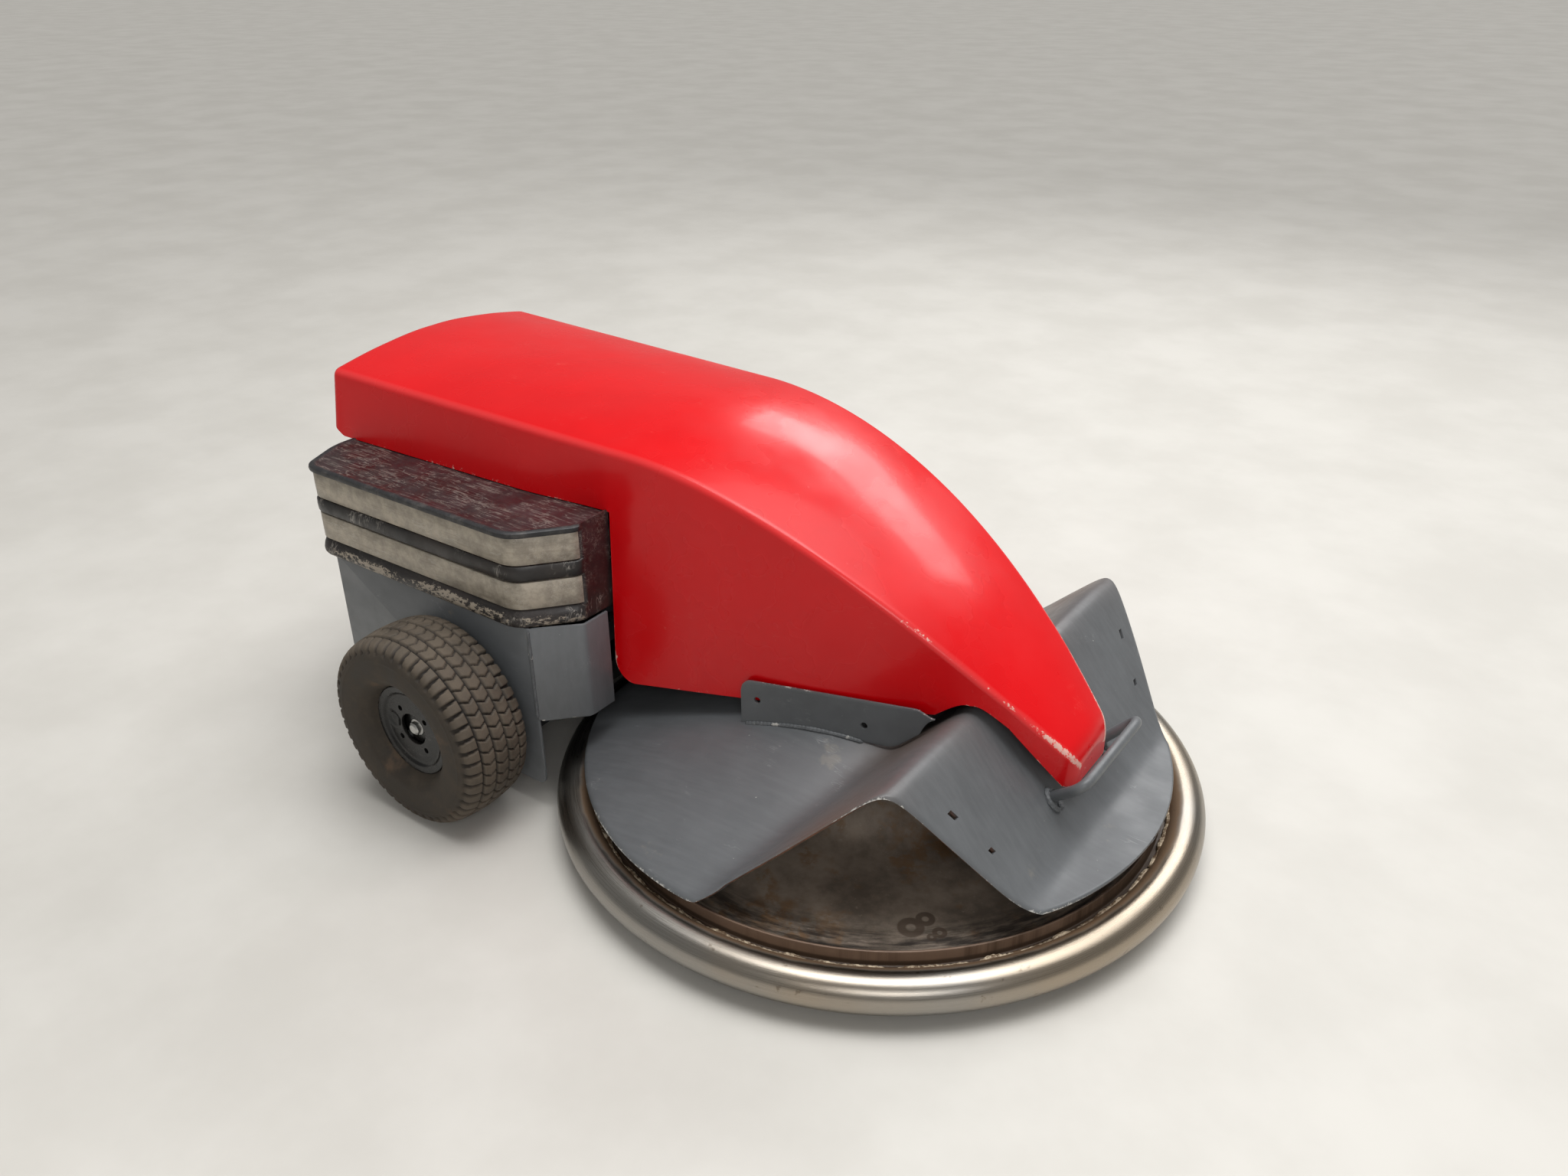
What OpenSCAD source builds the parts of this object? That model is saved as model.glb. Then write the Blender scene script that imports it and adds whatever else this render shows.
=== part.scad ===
// Self-propelled floor sweeping robot: two driven tyres at the back, a low
// turning ring and disc at the front, a fixed guard sheet with a raised ridge
// over the disc, and a long hood that tips forward about its nose.
// Millimetres. +X is the way it drives, +Y is its left, +Z is up.
// Modules work from the disc's axis; on_floor() moves them to the middle of
// the whole machine, with Z = 0 on the floor.

/* [Ring and disc] */
// Radius of the ring's centre line
ring_radius = 423; // [380:1:510]
// Diameter of the ring's tube
ring_tube = 52; // [40:1:64]
// Wall of the ring's tube
ring_wall = 3; // [2:0.5:5]
// Height of the ring's underside above the floor
ring_clearance = 15; // [10:1:25]
// Thickness of the disc plate
disc_plate_t = 4; // [3:0.5:6]
// Height of the small lip round the disc
lip_height = 10; // [5:1:14]

/* [Guard sheet] */
// How far the guard's rim lies inside the ring's centre line
guard_inset = 15; // [8:1:30]
// Gap between the ring's top and the guard's rim
guard_gap = 20; // [15:1:30]
// Rise of the guard's rear half from its rim to its middle
guard_rise = 165; // [150:1:185]
// Thickness of the guard sheet
guard_t = 5; // [4:0.5:7]
// Distance from the disc's axis to the ridge
ridge_x = 187; // [170:1:205]
// Rise of the ridge's flanks from the guard's rim to where they would meet
ridge_rise = 178; // [170:1:190]
// Softness of the ridge's crest
ridge_round = 17; // [10:1:22]
// Angle of the guard's front corners from the middle line
corner_angle = 30.5; // [27:0.5:34]
// How far the guard's left cut edge bows out past its right one
guard_bow = 45; // [0:1:54]
// How far the ridge's left end lies lower than its middle
ridge_sag = 16; // [0:1:20]

/* [Wheels] */
// Diameter of the drive tyres
tyre_d = 284; // [230:1:345]
// Width of the drive tyres
tyre_w = 112; // [90:1:136]
// Diameter of the wheel rims where the tyre sits
rim_d = 116; // [100:1:139]
// Gap along the machine between the ring and the tyres
wheel_gap = 30; // [24:1:60]
// Gap between the chassis and the tyres
wheel_side_gap = 18; // [12:1:25]
// Diameter of the wheel shafts
shaft_d = 25; // [20:1:30]

/* [Chassis] */
// Width of the chassis over its side plates
chassis_w = 600; // [560:2:720]
// Thickness of the chassis plates
plate_t = 4; // [3:0.5:6]
// Height of the chassis' lower edge
chassis_bottom = 41; // [36:1:50]
// Height of the chassis' upper edge
chassis_top = 292; // [285:1:300]
// Length of the chassis behind the wheel axis
chassis_rear = 263; // [220:1:316]
// Gap between the ring and the chassis side plates
chassis_gap = 16; // [12:1:25]

/* [Side boxes] */
// Height of the side boxes
pod_h = 135; // [120:1:162]
// How far the side boxes stand out past the chassis
pod_overhang = 7; // [4:1:12]
// Thickness of the steel rubbing strips
strip_t = 3; // [2:0.5:4]
// Width of the rubbing strips
strip_w = 39; // [34:1:42]

/* [Hood] */
// Height of the hood's top edges at its shoulder
hood_top = 512; // [490:1:560]
// Height of the hood's nose at its top
nose_top = 206; // [200:1:215]
// How far the nose stops behind the ring's centre line
nose_inset = 113; // [105:1:125]
// Half of the nose's width
nose_half = 50; // [42:1:58]
// Half of the hood's width at its shoulder
shoulder_half = 178; // [170:1:190]
// Thickness of the hood sheet
hood_t = 3; // [2:0.5:4]
// Height of the hood's crown over its top edges
crown = 22; // [14:1:28]
// Overhang of the hood behind the chassis
hood_overhang = 92; // [50:1:112]

/* [Drive] */
// Gear module
gear_module = 4; // [4:1:4]
// Teeth on the disc gear
gear_teeth = 45; // [45:1:45]
// Teeth on the pinion
pinion_teeth = 12; // [12:1:12]
// Thickness of the gears
gear_t = 15; // [12:1:18]
// Diameter of the fixed spindle
spindle_d = 30; // [24:1:36]
// Diameter of the caster wheel
caster_d = 80; // [70:1:84]

/* [Hidden] */
$fn = 64;

// Fits
run_fit = 0.05;        // radial clearance of a shaft that turns in a bore
eps = 0.01;

// Ring and disc
ring_z = ring_clearance + ring_tube / 2;
ring_outer = ring_radius + ring_tube / 2;
ring_top = ring_clearance + ring_tube;
disc_top = ring_z + 19;
lip_r = ring_radius - ring_tube / 2 - 6;
boss_top = disc_top + 60;
boss_r = 130;
boss_foot = 190;

// Guard sheet
guard_r = ring_radius - guard_inset;
guard_front_r = guard_r - 8;
rim_z = ring_top + guard_gap + guard_t;
front_rim_z = rim_z + 10;
ridge_peak = rim_z + ridge_rise;
corner_x = guard_front_r * cos(corner_angle);
corner_y = guard_front_r * sin(corner_angle);
front_slope = 1.18;

// Wheels and chassis, each clear of the ring
tyre_r = tyre_d / 2;
half_w = chassis_w / 2;
tyre_in = half_w + wheel_side_gap;
tyre_out = tyre_in + tyre_w;
function ring_back(y) = sqrt(pow(ring_outer, 2) - pow(y, 2));
wheel_x = -(ring_back(tyre_in) + wheel_gap + tyre_r);
chassis_x0 = wheel_x - chassis_rear;
chassis_x1 = -sqrt(pow(ring_outer + chassis_gap, 2) - pow(half_w, 2));
front_x = chassis_x1 + 52;
front_low = 150;

// Hood
hood_x0 = chassis_x0 - hood_overhang;
step_x = front_x - 4;
nose_x = ring_radius - nose_inset;
hood_rear_rise = 13;
rear_half = shoulder_half + 13;
pod_top = chassis_top + pod_h;
middle_x = (hood_x0 + ring_outer) / 2;

// Drive parts
gear_r = gear_module * gear_teeth / 2;
pinion_r = gear_module * pinion_teeth / 2;
motor_x = -(gear_r + pinion_r + 0.1);
gear_z = boss_top + 32;
hub_top = boss_top + 96;
bearing_r = spindle_d / 2 + 16;
bearing_h = 16;
hub_r = bearing_r + 15;
rail_y = 110;
rail_w = 26;
rail_h = 32;
rail_z = rim_z + guard_rise * (1 - (rail_y - rail_w / 2) / guard_r) + guard_t + 6;
rail_x1 = 90;
tray_z = rail_z + rail_h;
plate_z = tray_z;
bearing_plate_t = 8;

// Caster
caster_r = caster_d / 2;
caster_trail = 28;
fork_top = caster_d + 14;
stem_r = 8;

function clamp(v, a, b) = min(max(v, a), b);
function soft_min(a, b, k) = -k * ln(exp(-a / k) + exp(-b / k));
function soft_max(a, b, k) = k * ln(exp(a / k) + exp(b / k));

// Height of the guard sheet's top face: a shallow cone behind, and a ridge
// across it whose two flanks run straight down to the rim's height.
rear_slope = ridge_rise / ridge_x;
function cone_z(x, y) = rim_z + guard_rise * max(0, 1 - norm([x, y]) / guard_r);
function ridge_z(x) = soft_min(
    rim_z + rear_slope * x,
    ridge_peak - front_slope * (x - ridge_x), ridge_round);
sag_from = 230;
function sag(y) = ridge_sag * pow(clamp((y - sag_from) / (guard_r - sag_from), 0, 1), 2);
function guard_z(x, y) = soft_max(
    ridge_z(x) - sag(y), x < ridge_x ? cone_z(x, y) : front_rim_z, 6);

// Half width of the guard sheet: the rim's circle, then straight cut edges
// down to the front corners, then the front arc. The left edge is cut wider.
function guard_half(x) =
    x < 0 ? sqrt(max(0, pow(guard_r, 2) - x * x)) :
    x < corner_x ? guard_r + (corner_y - guard_r) * x / corner_x :
    sqrt(max(0, pow(guard_front_r, 2) - x * x));
function guard_side(x, s) = guard_half(x)
    + (s > 0 ? guard_bow * sin(180 * clamp(x / corner_x, 0, 1)) : 0);

// Hood: top edges, half width and lower edge along its length
function nose_run(x) = clamp((x - step_x) / (nose_x - step_x), 0, 1);
function rear_run(x) = clamp((step_x - x) / (step_x - hood_x0), 0, 1);
function edge_z(x) = nose_top + (hood_top - nose_top)
    * (1 - pow(nose_run(x), 1.92)) + hood_rear_rise * rear_run(x);
function edge_half(x) = nose_half + (shoulder_half - nose_half)
    * (1 - 0.3 * nose_run(x) - 0.7 * pow(nose_run(x), 3))
    + (rear_half - shoulder_half) * rear_run(x);
function flare(x) = 14 * pow(1 - nose_run(x), 3);
function crown_z(x) = crown * (1 - 0.7 * nose_run(x));
skirt_x0 = step_x + 28;
skirt_z0 = 178;
arch_x = ridge_x - 40;
arch_z = ridge_peak - 20;
function arch_gap(x) = 12 + 17 * clamp((x - ridge_x) / 45, 0, 1);
function skirt_z(x) =
    x < step_x ? pod_top + 1.5 + 14 * clamp((hood_x0 + 22 - x) / 22, 0, 1) :
    x < skirt_x0 ? skirt_z0 + 34 * (1 - sqrt(1 - pow((skirt_x0 - x) / 28, 2))) :
    x < arch_x ? skirt_z0 + (arch_z - skirt_z0) * (x - skirt_x0) / (arch_x - skirt_x0) :
    max(nose_top - 36, ridge_z(x) + arch_gap(x)
        + 6 * clamp((ridge_x - x) / 40, 0, 1));

module on_floor() { translate([-middle_x, 0, 0]) children(); }
module both_sides(side) { mirror([0, side < 0 ? 1 : 0, 0]) children(); }

// A closed sheet between two grids of points with the same rows and columns
module sheet_between(upper, lower) {
    rows = len(upper);
    cols = len(upper[0]);
    n = rows * cols;
    function at(i, j, k) = k * n + i * cols + j;
    faces = concat(
        [for (i = [0 : rows - 2], j = [0 : cols - 2])
            [at(i, j, 0), at(i + 1, j, 0), at(i + 1, j + 1, 0)]],
        [for (i = [0 : rows - 2], j = [0 : cols - 2])
            [at(i, j, 0), at(i + 1, j + 1, 0), at(i, j + 1, 0)]],
        [for (i = [0 : rows - 2], j = [0 : cols - 2])
            [at(i, j, 1), at(i + 1, j + 1, 1), at(i + 1, j, 1)]],
        [for (i = [0 : rows - 2], j = [0 : cols - 2])
            [at(i, j, 1), at(i, j + 1, 1), at(i + 1, j + 1, 1)]],
        [for (i = [0 : rows - 2], e = [0, 1]) let (a = at(i, 0, 0),
            b = at(i + 1, 0, 0), c = at(i + 1, 0, 1), d = at(i, 0, 1))
            e == 0 ? [a, c, b] : [a, d, c]],
        [for (i = [0 : rows - 2], e = [0, 1]) let (a = at(i, cols - 1, 0),
            b = at(i + 1, cols - 1, 0), c = at(i + 1, cols - 1, 1),
            d = at(i, cols - 1, 1)) e == 0 ? [a, b, c] : [a, c, d]],
        [for (j = [0 : cols - 2], e = [0, 1]) let (a = at(0, j, 0),
            b = at(0, j + 1, 0), c = at(0, j + 1, 1), d = at(0, j, 1))
            e == 0 ? [a, b, c] : [a, c, d]],
        [for (j = [0 : cols - 2], e = [0, 1]) let (a = at(rows - 1, j, 0),
            b = at(rows - 1, j + 1, 0), c = at(rows - 1, j + 1, 1),
            d = at(rows - 1, j, 1)) e == 0 ? [a, c, b] : [a, d, c]]);
    polyhedron(concat([for (r = upper) each r], [for (r = lower) each r]), faces);
}

// ---- chassis ----
module side_plate() {
    color("slategray")
    difference() {
        translate([chassis_x0, half_w - plate_t, chassis_bottom])
        cube([chassis_x1 - chassis_x0, plate_t, chassis_top - chassis_bottom]);
        translate([wheel_x, half_w + eps, tyre_r])
        rotate([90, 0, 0])
        cylinder(r = shaft_d / 2 + 8, h = plate_t + 2 * eps);
    }
}

module front_plate() {
    inner = half_w - 52;
    color("slategray")
    translate([0, 0, front_low])
    linear_extrude(chassis_top - front_low)
    polygon([
        [chassis_x1 + eps, half_w], [front_x, inner],
        [front_x, inner - 44], [front_x - plate_t, inner - 44],
        [front_x - plate_t, inner - 1.7], [chassis_x1 + eps, half_w - plate_t * 1.4]
    ]);
}

module rear_plate() {
    y = half_w - plate_t;
    color("slategray")
    translate([chassis_x0, -y + eps, chassis_bottom])
    cube([plate_t, 2 * (y - eps), chassis_top - chassis_bottom]);
    color("slategray")
    translate([chassis_x0, -(pod_in - 2), chassis_top - eps])
    cube([plate_t, 2 * (pod_in - 2), pod_h + 8]);
}

pan_x0 = chassis_x0 + plate_t + eps;
pan_x1 = -(ring_outer + chassis_gap);
module floor_pan() {
    y = half_w - plate_t - eps;
    color("dimgray") {
        translate([pan_x0, -y, chassis_bottom])
        cube([pan_x1 - pan_x0, 2 * y, plate_t]);
        translate([pan_x1 - plate_t, -y, chassis_bottom])
        cube([plate_t, 2 * y, 34]);
    }
}

module rail() {
    x0 = chassis_x0 + plate_t + 4;
    color("dimgray")
    difference() {
        translate([x0, rail_y - rail_w / 2, rail_z])
        cube([rail_x1 - x0, rail_w, rail_h]);
        translate([x0 - 1, rail_y - rail_w / 2 + 3, rail_z + 3])
        cube([rail_x1 - x0 + 2, rail_w - 6, rail_h - 6]);
    }
}

tube_w = 30;
module cross_tubes() {
    y = half_w - plate_t - eps;
    color("dimgray")
    for (x = [chassis_x0 + 24, chassis_x1 - tube_w - 5])
    difference() {
        translate([x, -y, rail_z - tube_w])
        cube([tube_w, 2 * y, tube_w]);
        translate([x + 3, -y - 1, rail_z - tube_w + 3])
        cube([tube_w - 6, 2 * y + 2, tube_w - 6]);
    }
}

module bearing_plate() {
    color("gray")
    difference() {
        translate([motor_x - 62, -rail_y - rail_w / 2, plate_z])
        cube([62 - motor_x + 70, 2 * rail_y + rail_w, bearing_plate_t]);
        translate([0, 0, plate_z - 1])
        cylinder(r = spindle_d / 2, h = bearing_plate_t + 2);
        translate([motor_x, 0, plate_z - 1])
        cylinder(r = 14, h = bearing_plate_t + 2);
    }
}

tray_x0 = chassis_x0 + 24;
battery_l = 260;
battery_w = 160;
battery_h = 185;
tray_x1 = tray_x0 + battery_l + 128;
tray_half = battery_w + 9;
battery_z = tray_z + 3;
module battery_tray() {
    color("dimgray")
    difference() {
        translate([tray_x0, -tray_half, tray_z])
        cube([tray_x1 - tray_x0, 2 * tray_half, 15]);
        translate([tray_x0 + 3, -tray_half + 3, battery_z])
        cube([tray_x1 - tray_x0 - 6, 2 * tray_half - 6, 20]);
    }
}

module battery() {
    color("black") {
        translate([tray_x0 + 6, 4, battery_z])
        cube([battery_l - 10, battery_w - 4, battery_h - 12]);
        translate([tray_x0 + 9, 7, battery_z + battery_h - 12])
        cube([battery_l - 16, battery_w - 10, 12]);
        for (x = [30, battery_l - 34])
        translate([tray_x0 + x, 40, battery_z + battery_h])
        cylinder(r = 8, h = 14);
    }
}

strap_x = 124;
module battery_strap() {
    y = battery_w + 0.5;
    z1 = battery_z + battery_h + 0.5;
    color("silver") {
        translate([tray_x0 + strap_x, -y - 2, z1])
        cube([24, 2 * y + 4, 2]);
        for (s = [-1, 1])
        translate([tray_x0 + strap_x, s > 0 ? y : -y - 2, battery_z + eps])
        cube([24, 2, z1 - battery_z]);
    }
}

box_x0 = tray_x0 + battery_l + 10;
box_l = 104;
box_h = 130;
module control_box() {
    color("lightgray")
    difference() {
        translate([box_x0, -120, battery_z])
        cube([box_l, 240, box_h]);
        translate([box_x0 + 3, -117, battery_z + 3])
        cube([box_l - 6, 234, box_h]);
    }
}

module control_lid() {
    color("gray") {
        translate([box_x0 - 2, -122, battery_z + box_h])
        cube([box_l + 4, 244, 5]);
        translate([box_x0 + 3.5, -116.5, battery_z + box_h - 4])
        cube([box_l - 7, 233, 4]);
    }
}

// ---- side boxes and their rubbing strips ----
pod_y = half_w + pod_overhang;
pod_x0 = chassis_x0 - 17;
pod_x1 = front_x - 8;
pod_in = shoulder_half + 2;
function pod_outline(g) = [
    [pod_x0 - 30 + g, pod_y - 70], [pod_x0 + g * 0.5, pod_y - g],
    [chassis_x1 - 13 - g * 0.5, pod_y - g], [pod_x1 - g, pod_y - 68]];
module pod_slab(g, z0, z1, inner) {
    translate([0, 0, z0])
    linear_extrude(z1 - z0)
    polygon(concat([[pod_x0 - 30 + g, inner]], pod_outline(g), [[pod_x1 - g, inner]]));
}

module side_box() {
    color("maroon")
    difference() {
        pod_slab(strip_t + eps, chassis_top, pod_top, pod_in);
        pod_slab(strip_t + 3, chassis_top + 3, pod_top - 3, pod_in - 5);
    }
}

strip_gap = 25;
strip_z1 = pod_top - 6 - strip_w;
strip_z2 = strip_z1 - strip_gap - strip_w;
module strips() {
    outer = pod_outline(0);
    inner = pod_outline(strip_t);
    color("rosybrown")
    for (z = [strip_z1, strip_z2])
    translate([0, 0, z])
    linear_extrude(strip_w)
    polygon(concat(outer, [for (i = [3 : -1 : 0]) inner[i]]));
}

// ---- guard sheet over the disc ----
guard_x0 = chassis_x1 - 20;
guard_rows = 62;
guard_cols = 25;
guard_end = guard_front_r - 2.5;
function guard_station(i) = let (t = i / (guard_rows - 1))
    guard_x0 + (guard_end - guard_x0) * (t < 0.9 ? t / 0.92
        : 0.9 / 0.92 + (1 - 0.9 / 0.92) * sin((t - 0.9) * 900));
module guard_body() {
    top = [for (i = [0 : guard_rows - 1]) let (x = guard_station(i))
        [for (j = [0 : guard_cols - 1]) let (t = 2 * j / (guard_cols - 1) - 1,
            y = t * guard_side(x, t)) [x, y, guard_z(x, y)]]];
    under = [for (r = top) [for (p = r) [p[0], p[1], p[2] - guard_t]]];
    sheet_between(under, top);
}

module guard_sheet() {
    color("gray")
    difference() {
        guard_body();
        translate([0, 0, rim_z])
        cylinder(r = hub_r + 6, h = guard_rise + 40);
        translate([motor_x, 0, rim_z])
        cylinder(r = pinion_r - 2, h = guard_rise + 40);
        for (s = [-1, 1], x = [ridge_x + 50, ridge_x + 92])
        translate([x - 4, s * (guard_side(x, s) - 38) - 4, rim_z])
        cube([8, 8, ridge_rise]);
    }
}

post_x = [-250, -40];
module guard_posts() {
    color("dimgray")
    for (s = [-1, 1], x = post_x)
    let (z = cone_z(x + 12, rail_y - 10) + 0.2)
    translate([x - 12, s * rail_y - 10, z])
    cube([24, 20, rail_z - z - eps]);
}

flange_x0 = -104;
flange_l = 262;
flange_run = 257.4;
flange_t = 3;
function flange_by(x, air) = edge_half(x) + flare(x) + flange_t + air;
flange_y0 = flange_by(flange_x0, 6.6);
flange_turn = atan2(flange_y0 - flange_by(flange_x0 + flange_run, 12.0), flange_run);
flange_top = rim_z + 150;
flange_hole_d = 9;
flange_holes = [[24, -28], [172, -41]];
module flange() {
    lean = [cos(flange_turn), -sin(flange_turn)];
    foot = [for (i = [0 : 23]) let (u = flange_l * i / 23 * 0.93)
        [u, max(guard_z(flange_x0 + u * lean[0], flange_y0 + u * lean[1]),
            guard_z(flange_x0 + u * lean[0], flange_y0 + u * lean[1] - flange_t),
            guard_z(flange_x0 + u * lean[0], flange_y0 + u * lean[1] + flange_t)) + 0.9]];
    top = flange_top;
    color("gray")
    translate([flange_x0, flange_y0, 0])
    rotate([0, 0, -flange_turn])
    rotate([90, 0, 0])
    difference() {
        linear_extrude(flange_t)
        polygon(concat(foot, [[flange_l, top + 10], [flange_l - 8, top + 19],
            [12, top], [0, top - 10]]));
        for (h = flange_holes)
        translate([h[0], top + h[1] + h[0] * 0.1, -1])
        cylinder(d = flange_hole_d, h = flange_t + 2);
    }
}

bar_d = 14;
bar_x = nose_x + 22;
bar_z = nose_top - 8;
bar_half = 92;
bar_shift = 10;
module rod(a, b, d) {
    v = b - a;
    l = norm(v);
    translate(a)
    rotate([0, acos(v[2] / l), atan2(v[1], v[0])])
    cylinder(d = d, h = l);
}
module nose_bar() {
    foot_x = nose_x - 23;
    foot_y = bar_half - 20;
    foot_lift = 3.6;
    color("slategray")
    translate([0, bar_shift, 0]) {
        translate([bar_x, -bar_half, bar_z])
        rotate([-90, 0, 0])
        cylinder(d = bar_d, h = 2 * bar_half);
        for (s = [-1, 1]) {
            translate([bar_x, s * bar_half, bar_z])
            sphere(d = bar_d + 0.6);
            rod([bar_x, s * bar_half, bar_z],
                [foot_x, s * foot_y, guard_z(foot_x, foot_y) + foot_lift], bar_d);
        }
    }
}

// ---- drive wheels ----
gearbox_l = 86;
gearbox_r = 42;
motor_l = 96;
module along_axle(y) {
    translate([wheel_x, y, tyre_r])
    rotate([-90, 0, 0])
    children();
}
module gearbox() {
    color("silver")
    difference() {
        union() {
            along_axle(half_w - plate_t - gearbox_l)
            cylinder(r = gearbox_r, h = gearbox_l - eps);
            along_axle(half_w - plate_t - 10)
            cylinder(r = gearbox_r + 8, h = 10 - eps);
        }
        along_axle(half_w - plate_t - gearbox_l + 30)
        cylinder(r = shaft_d / 2 + run_fit, h = gearbox_l);
    }
}
module drive_motor() {
    color("dimgray")
    along_axle(half_w - plate_t - gearbox_l - motor_l) {
        cylinder(r = 34, h = motor_l - eps);
        translate([0, 0, -8])
        cylinder(r = 24, h = 8);
    }
}
hub_in = tyre_in + 8;
hub_out = tyre_in + tyre_w * 0.7;
module shaft() {
    color("silver")
    along_axle(half_w - plate_t - gearbox_l + 31)
    cylinder(d = shaft_d, h = hub_out - 4 - (half_w - plate_t - gearbox_l + 31));
}
bolt_circle = 62;
rim_face = tyre_in + tyre_w * 0.62;
module hub() {
    color("black")
    difference() {
        union() {
            along_axle(hub_in)
            cylinder(r = 24, h = hub_out - hub_in);
            along_axle(rim_face - 14)
            cylinder(r = bolt_circle / 2 + 10, h = 10 - eps);
        }
        along_axle(hub_in - 1)
        cylinder(d = shaft_d, h = hub_out - hub_in + 2);
    }
}
bead_w = tyre_w * 0.62;
module rim() {
    r = rim_d / 2;
    y0 = tyre_in + (tyre_w - bead_w) / 2;
    color("black")
    translate([wheel_x, 0, tyre_r])
    rotate([-90, 0, 0])
    difference() {
        rotate_extrude()
        polygon([
            [r - 3, y0], [r + 9, y0], [r + 9, y0 + 3], [r, y0 + 6],
            [r, y0 + bead_w - 6], [r + 9, y0 + bead_w - 3], [r + 9, y0 + bead_w],
            [r - 4, y0 + bead_w], [r - 4, rim_face], [24.5, rim_face],
            [24.5, rim_face - 4], [r - 4, rim_face - 4], [r - 4, y0 + 4]
        ]);
        for (a = [45 : 90 : 315])
        rotate([0, 0, a])
        translate([bolt_circle / 2, 0, rim_face - 5])
        cylinder(d = 8.6, h = 6);
    }
}
module tyre() {
    r = rim_d / 2 + 0.2;
    y0 = tyre_in;
    y1 = tyre_out;
    bead = (tyre_w - bead_w) / 2 + 3.4;
    color("#4a453f")
    translate([wheel_x, 0, tyre_r])
    rotate([-90, 0, 0])
    rotate_extrude($fn = 96)
    polygon([
        [r, y0 + bead + 3.2], [r + 9, y0 + bead], [r + 9.2, y0 + bead - 5],
        [r + 16, y0 + 7], [r + 36, y0], [tyre_r - 22, y0 + 1], [tyre_r - 7, y0 + 8],
        [tyre_r - 2, y0 + 20], [tyre_r, y0 + tyre_w / 2], [tyre_r - 2, y1 - 20],
        [tyre_r - 7, y1 - 8], [tyre_r - 22, y1 - 1], [r + 36, y1], [r + 16, y1 - 7],
        [r + 9.2, y1 - bead + 5], [r + 9, y1 - bead], [r, y1 - bead - 3.2], [r, y1 - bead - 9],
        [r + 20, y1 - bead - 12], [tyre_r - 24, y1 - 14], [tyre_r - 14, y1 - 26],
        [tyre_r - 14, y0 + 26], [tyre_r - 24, y0 + 14], [r + 20, y0 + bead + 12],
        [r, y0 + bead + 9]
    ]);
}
module wheel_bolts() {
    color("silver") {
        for (a = [45 : 90 : 315])
        translate([wheel_x + bolt_circle / 2 * cos(a), rim_face + eps,
            tyre_r + bolt_circle / 2 * sin(a)])
        rotate([-90, 0, 0]) {
            cylinder(r = 6.5, h = 5, $fn = 6);
            translate([0, 0, -3.9])
            cylinder(r = 4.25, h = 3.9);
        }
        along_axle(hub_out + eps)
        cylinder(r = 15, h = 3);
        along_axle(hub_out + 3)
        cylinder(r = 9, h = 7, $fn = 6);
    }
}

// ---- disc, its spindle and drive ----
spindle_foot = fork_top + 6;
module spindle() {
    color("silver")
    difference() {
        union() {
            translate([0, 0, spindle_foot])
            cylinder(d = spindle_d, h = plate_z + bearing_plate_t - spindle_foot);
            translate([0, 0, plate_z + bearing_plate_t + eps])
            cylinder(r = spindle_d / 2 + 18, h = 10);
        }
        translate([0, 0, spindle_foot - 1])
        cylinder(r = stem_r + run_fit, h = 62);
    }
}
module bearing(z) {
    color("silver")
    translate([0, 0, z])
    difference() {
        cylinder(r = bearing_r, h = bearing_h);
        translate([0, 0, -1])
        cylinder(r = spindle_d / 2 + run_fit, h = bearing_h + 2);
    }
}
bearing_z = [boss_top + 8, hub_top - bearing_h - 4];
module disc_hub() {
    color("dimgray")
    difference() {
        union() {
            translate([0, 0, boss_top + eps])
            cylinder(r = 90, h = 7);
            translate([0, 0, boss_top + eps])
            cylinder(r = hub_r, h = hub_top - boss_top);
        }
        translate([0, 0, boss_top - 1])
        cylinder(r = bearing_r - 6, h = hub_top - boss_top + 2);
        for (z = bearing_z)
        translate([0, 0, z - (z == bearing_z[0] ? 20 : 0)])
        cylinder(r = bearing_r, h = bearing_h + (z == bearing_z[0] ? 20 : 10));
    }
}

// Involute teeth: half the tooth's angle at each radius
function involute(a) = tan(a) - a * PI / 180;
function tooth_half(r, teeth, pitch_r) = let (base = pitch_r * cos(20))
    90 / teeth - 0.12 / pitch_r * 180 / PI
    + (involute(20) - involute(acos(min(1, base / max(r, base))))) * 180 / PI;
module spur_gear(teeth, pitch_r, h, turn) {
    root = pitch_r - gear_module * 1.25;
    tip = pitch_r + gear_module * 0.95;
    rs = [root, pitch_r - gear_module * 0.6, pitch_r - gear_module * 0.1,
        pitch_r + gear_module * 0.45, tip];
    linear_extrude(h)
    rotate([0, 0, turn])
    polygon([for (k = [0 : teeth - 1], i = [0 : 9])
        let (r = i < 5 ? rs[i] : rs[9 - i], a = tooth_half(r, teeth, pitch_r),
            t = 360 * k / teeth + (i < 5 ? -a : a))
        [r * cos(t), r * sin(t)]]);
}
module disc_gear() {
    color("silver")
    difference() {
        translate([0, 0, gear_z])
        spur_gear(gear_teeth, gear_r, gear_t, 180);
        translate([0, 0, gear_z - 1])
        cylinder(r = hub_r, h = gear_t + 2);
    }
}
module pinion() {
    color("silver")
    translate([motor_x, 0, 0]) {
        translate([0, 0, gear_z])
        spur_gear(pinion_teeth, pinion_r, gear_t, 180 / pinion_teeth);
        translate([0, 0, gear_z + gear_t - eps])
        cylinder(r = 10, h = plate_z + bearing_plate_t + 1 - gear_z - gear_t);
    }
}
module disc_motor() {
    z = plate_z + bearing_plate_t;
    color("dimgray")
    translate([motor_x, 0, z + eps])
    difference() {
        union() {
            cylinder(r = 58, h = 12);
            cylinder(r = 45, h = 118);
            translate([0, 0, 118])
            cylinder(r = 30, h = 16);
        }
        translate([0, 0, -1])
        cylinder(r = 10 + run_fit, h = 12);
    }
}
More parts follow.
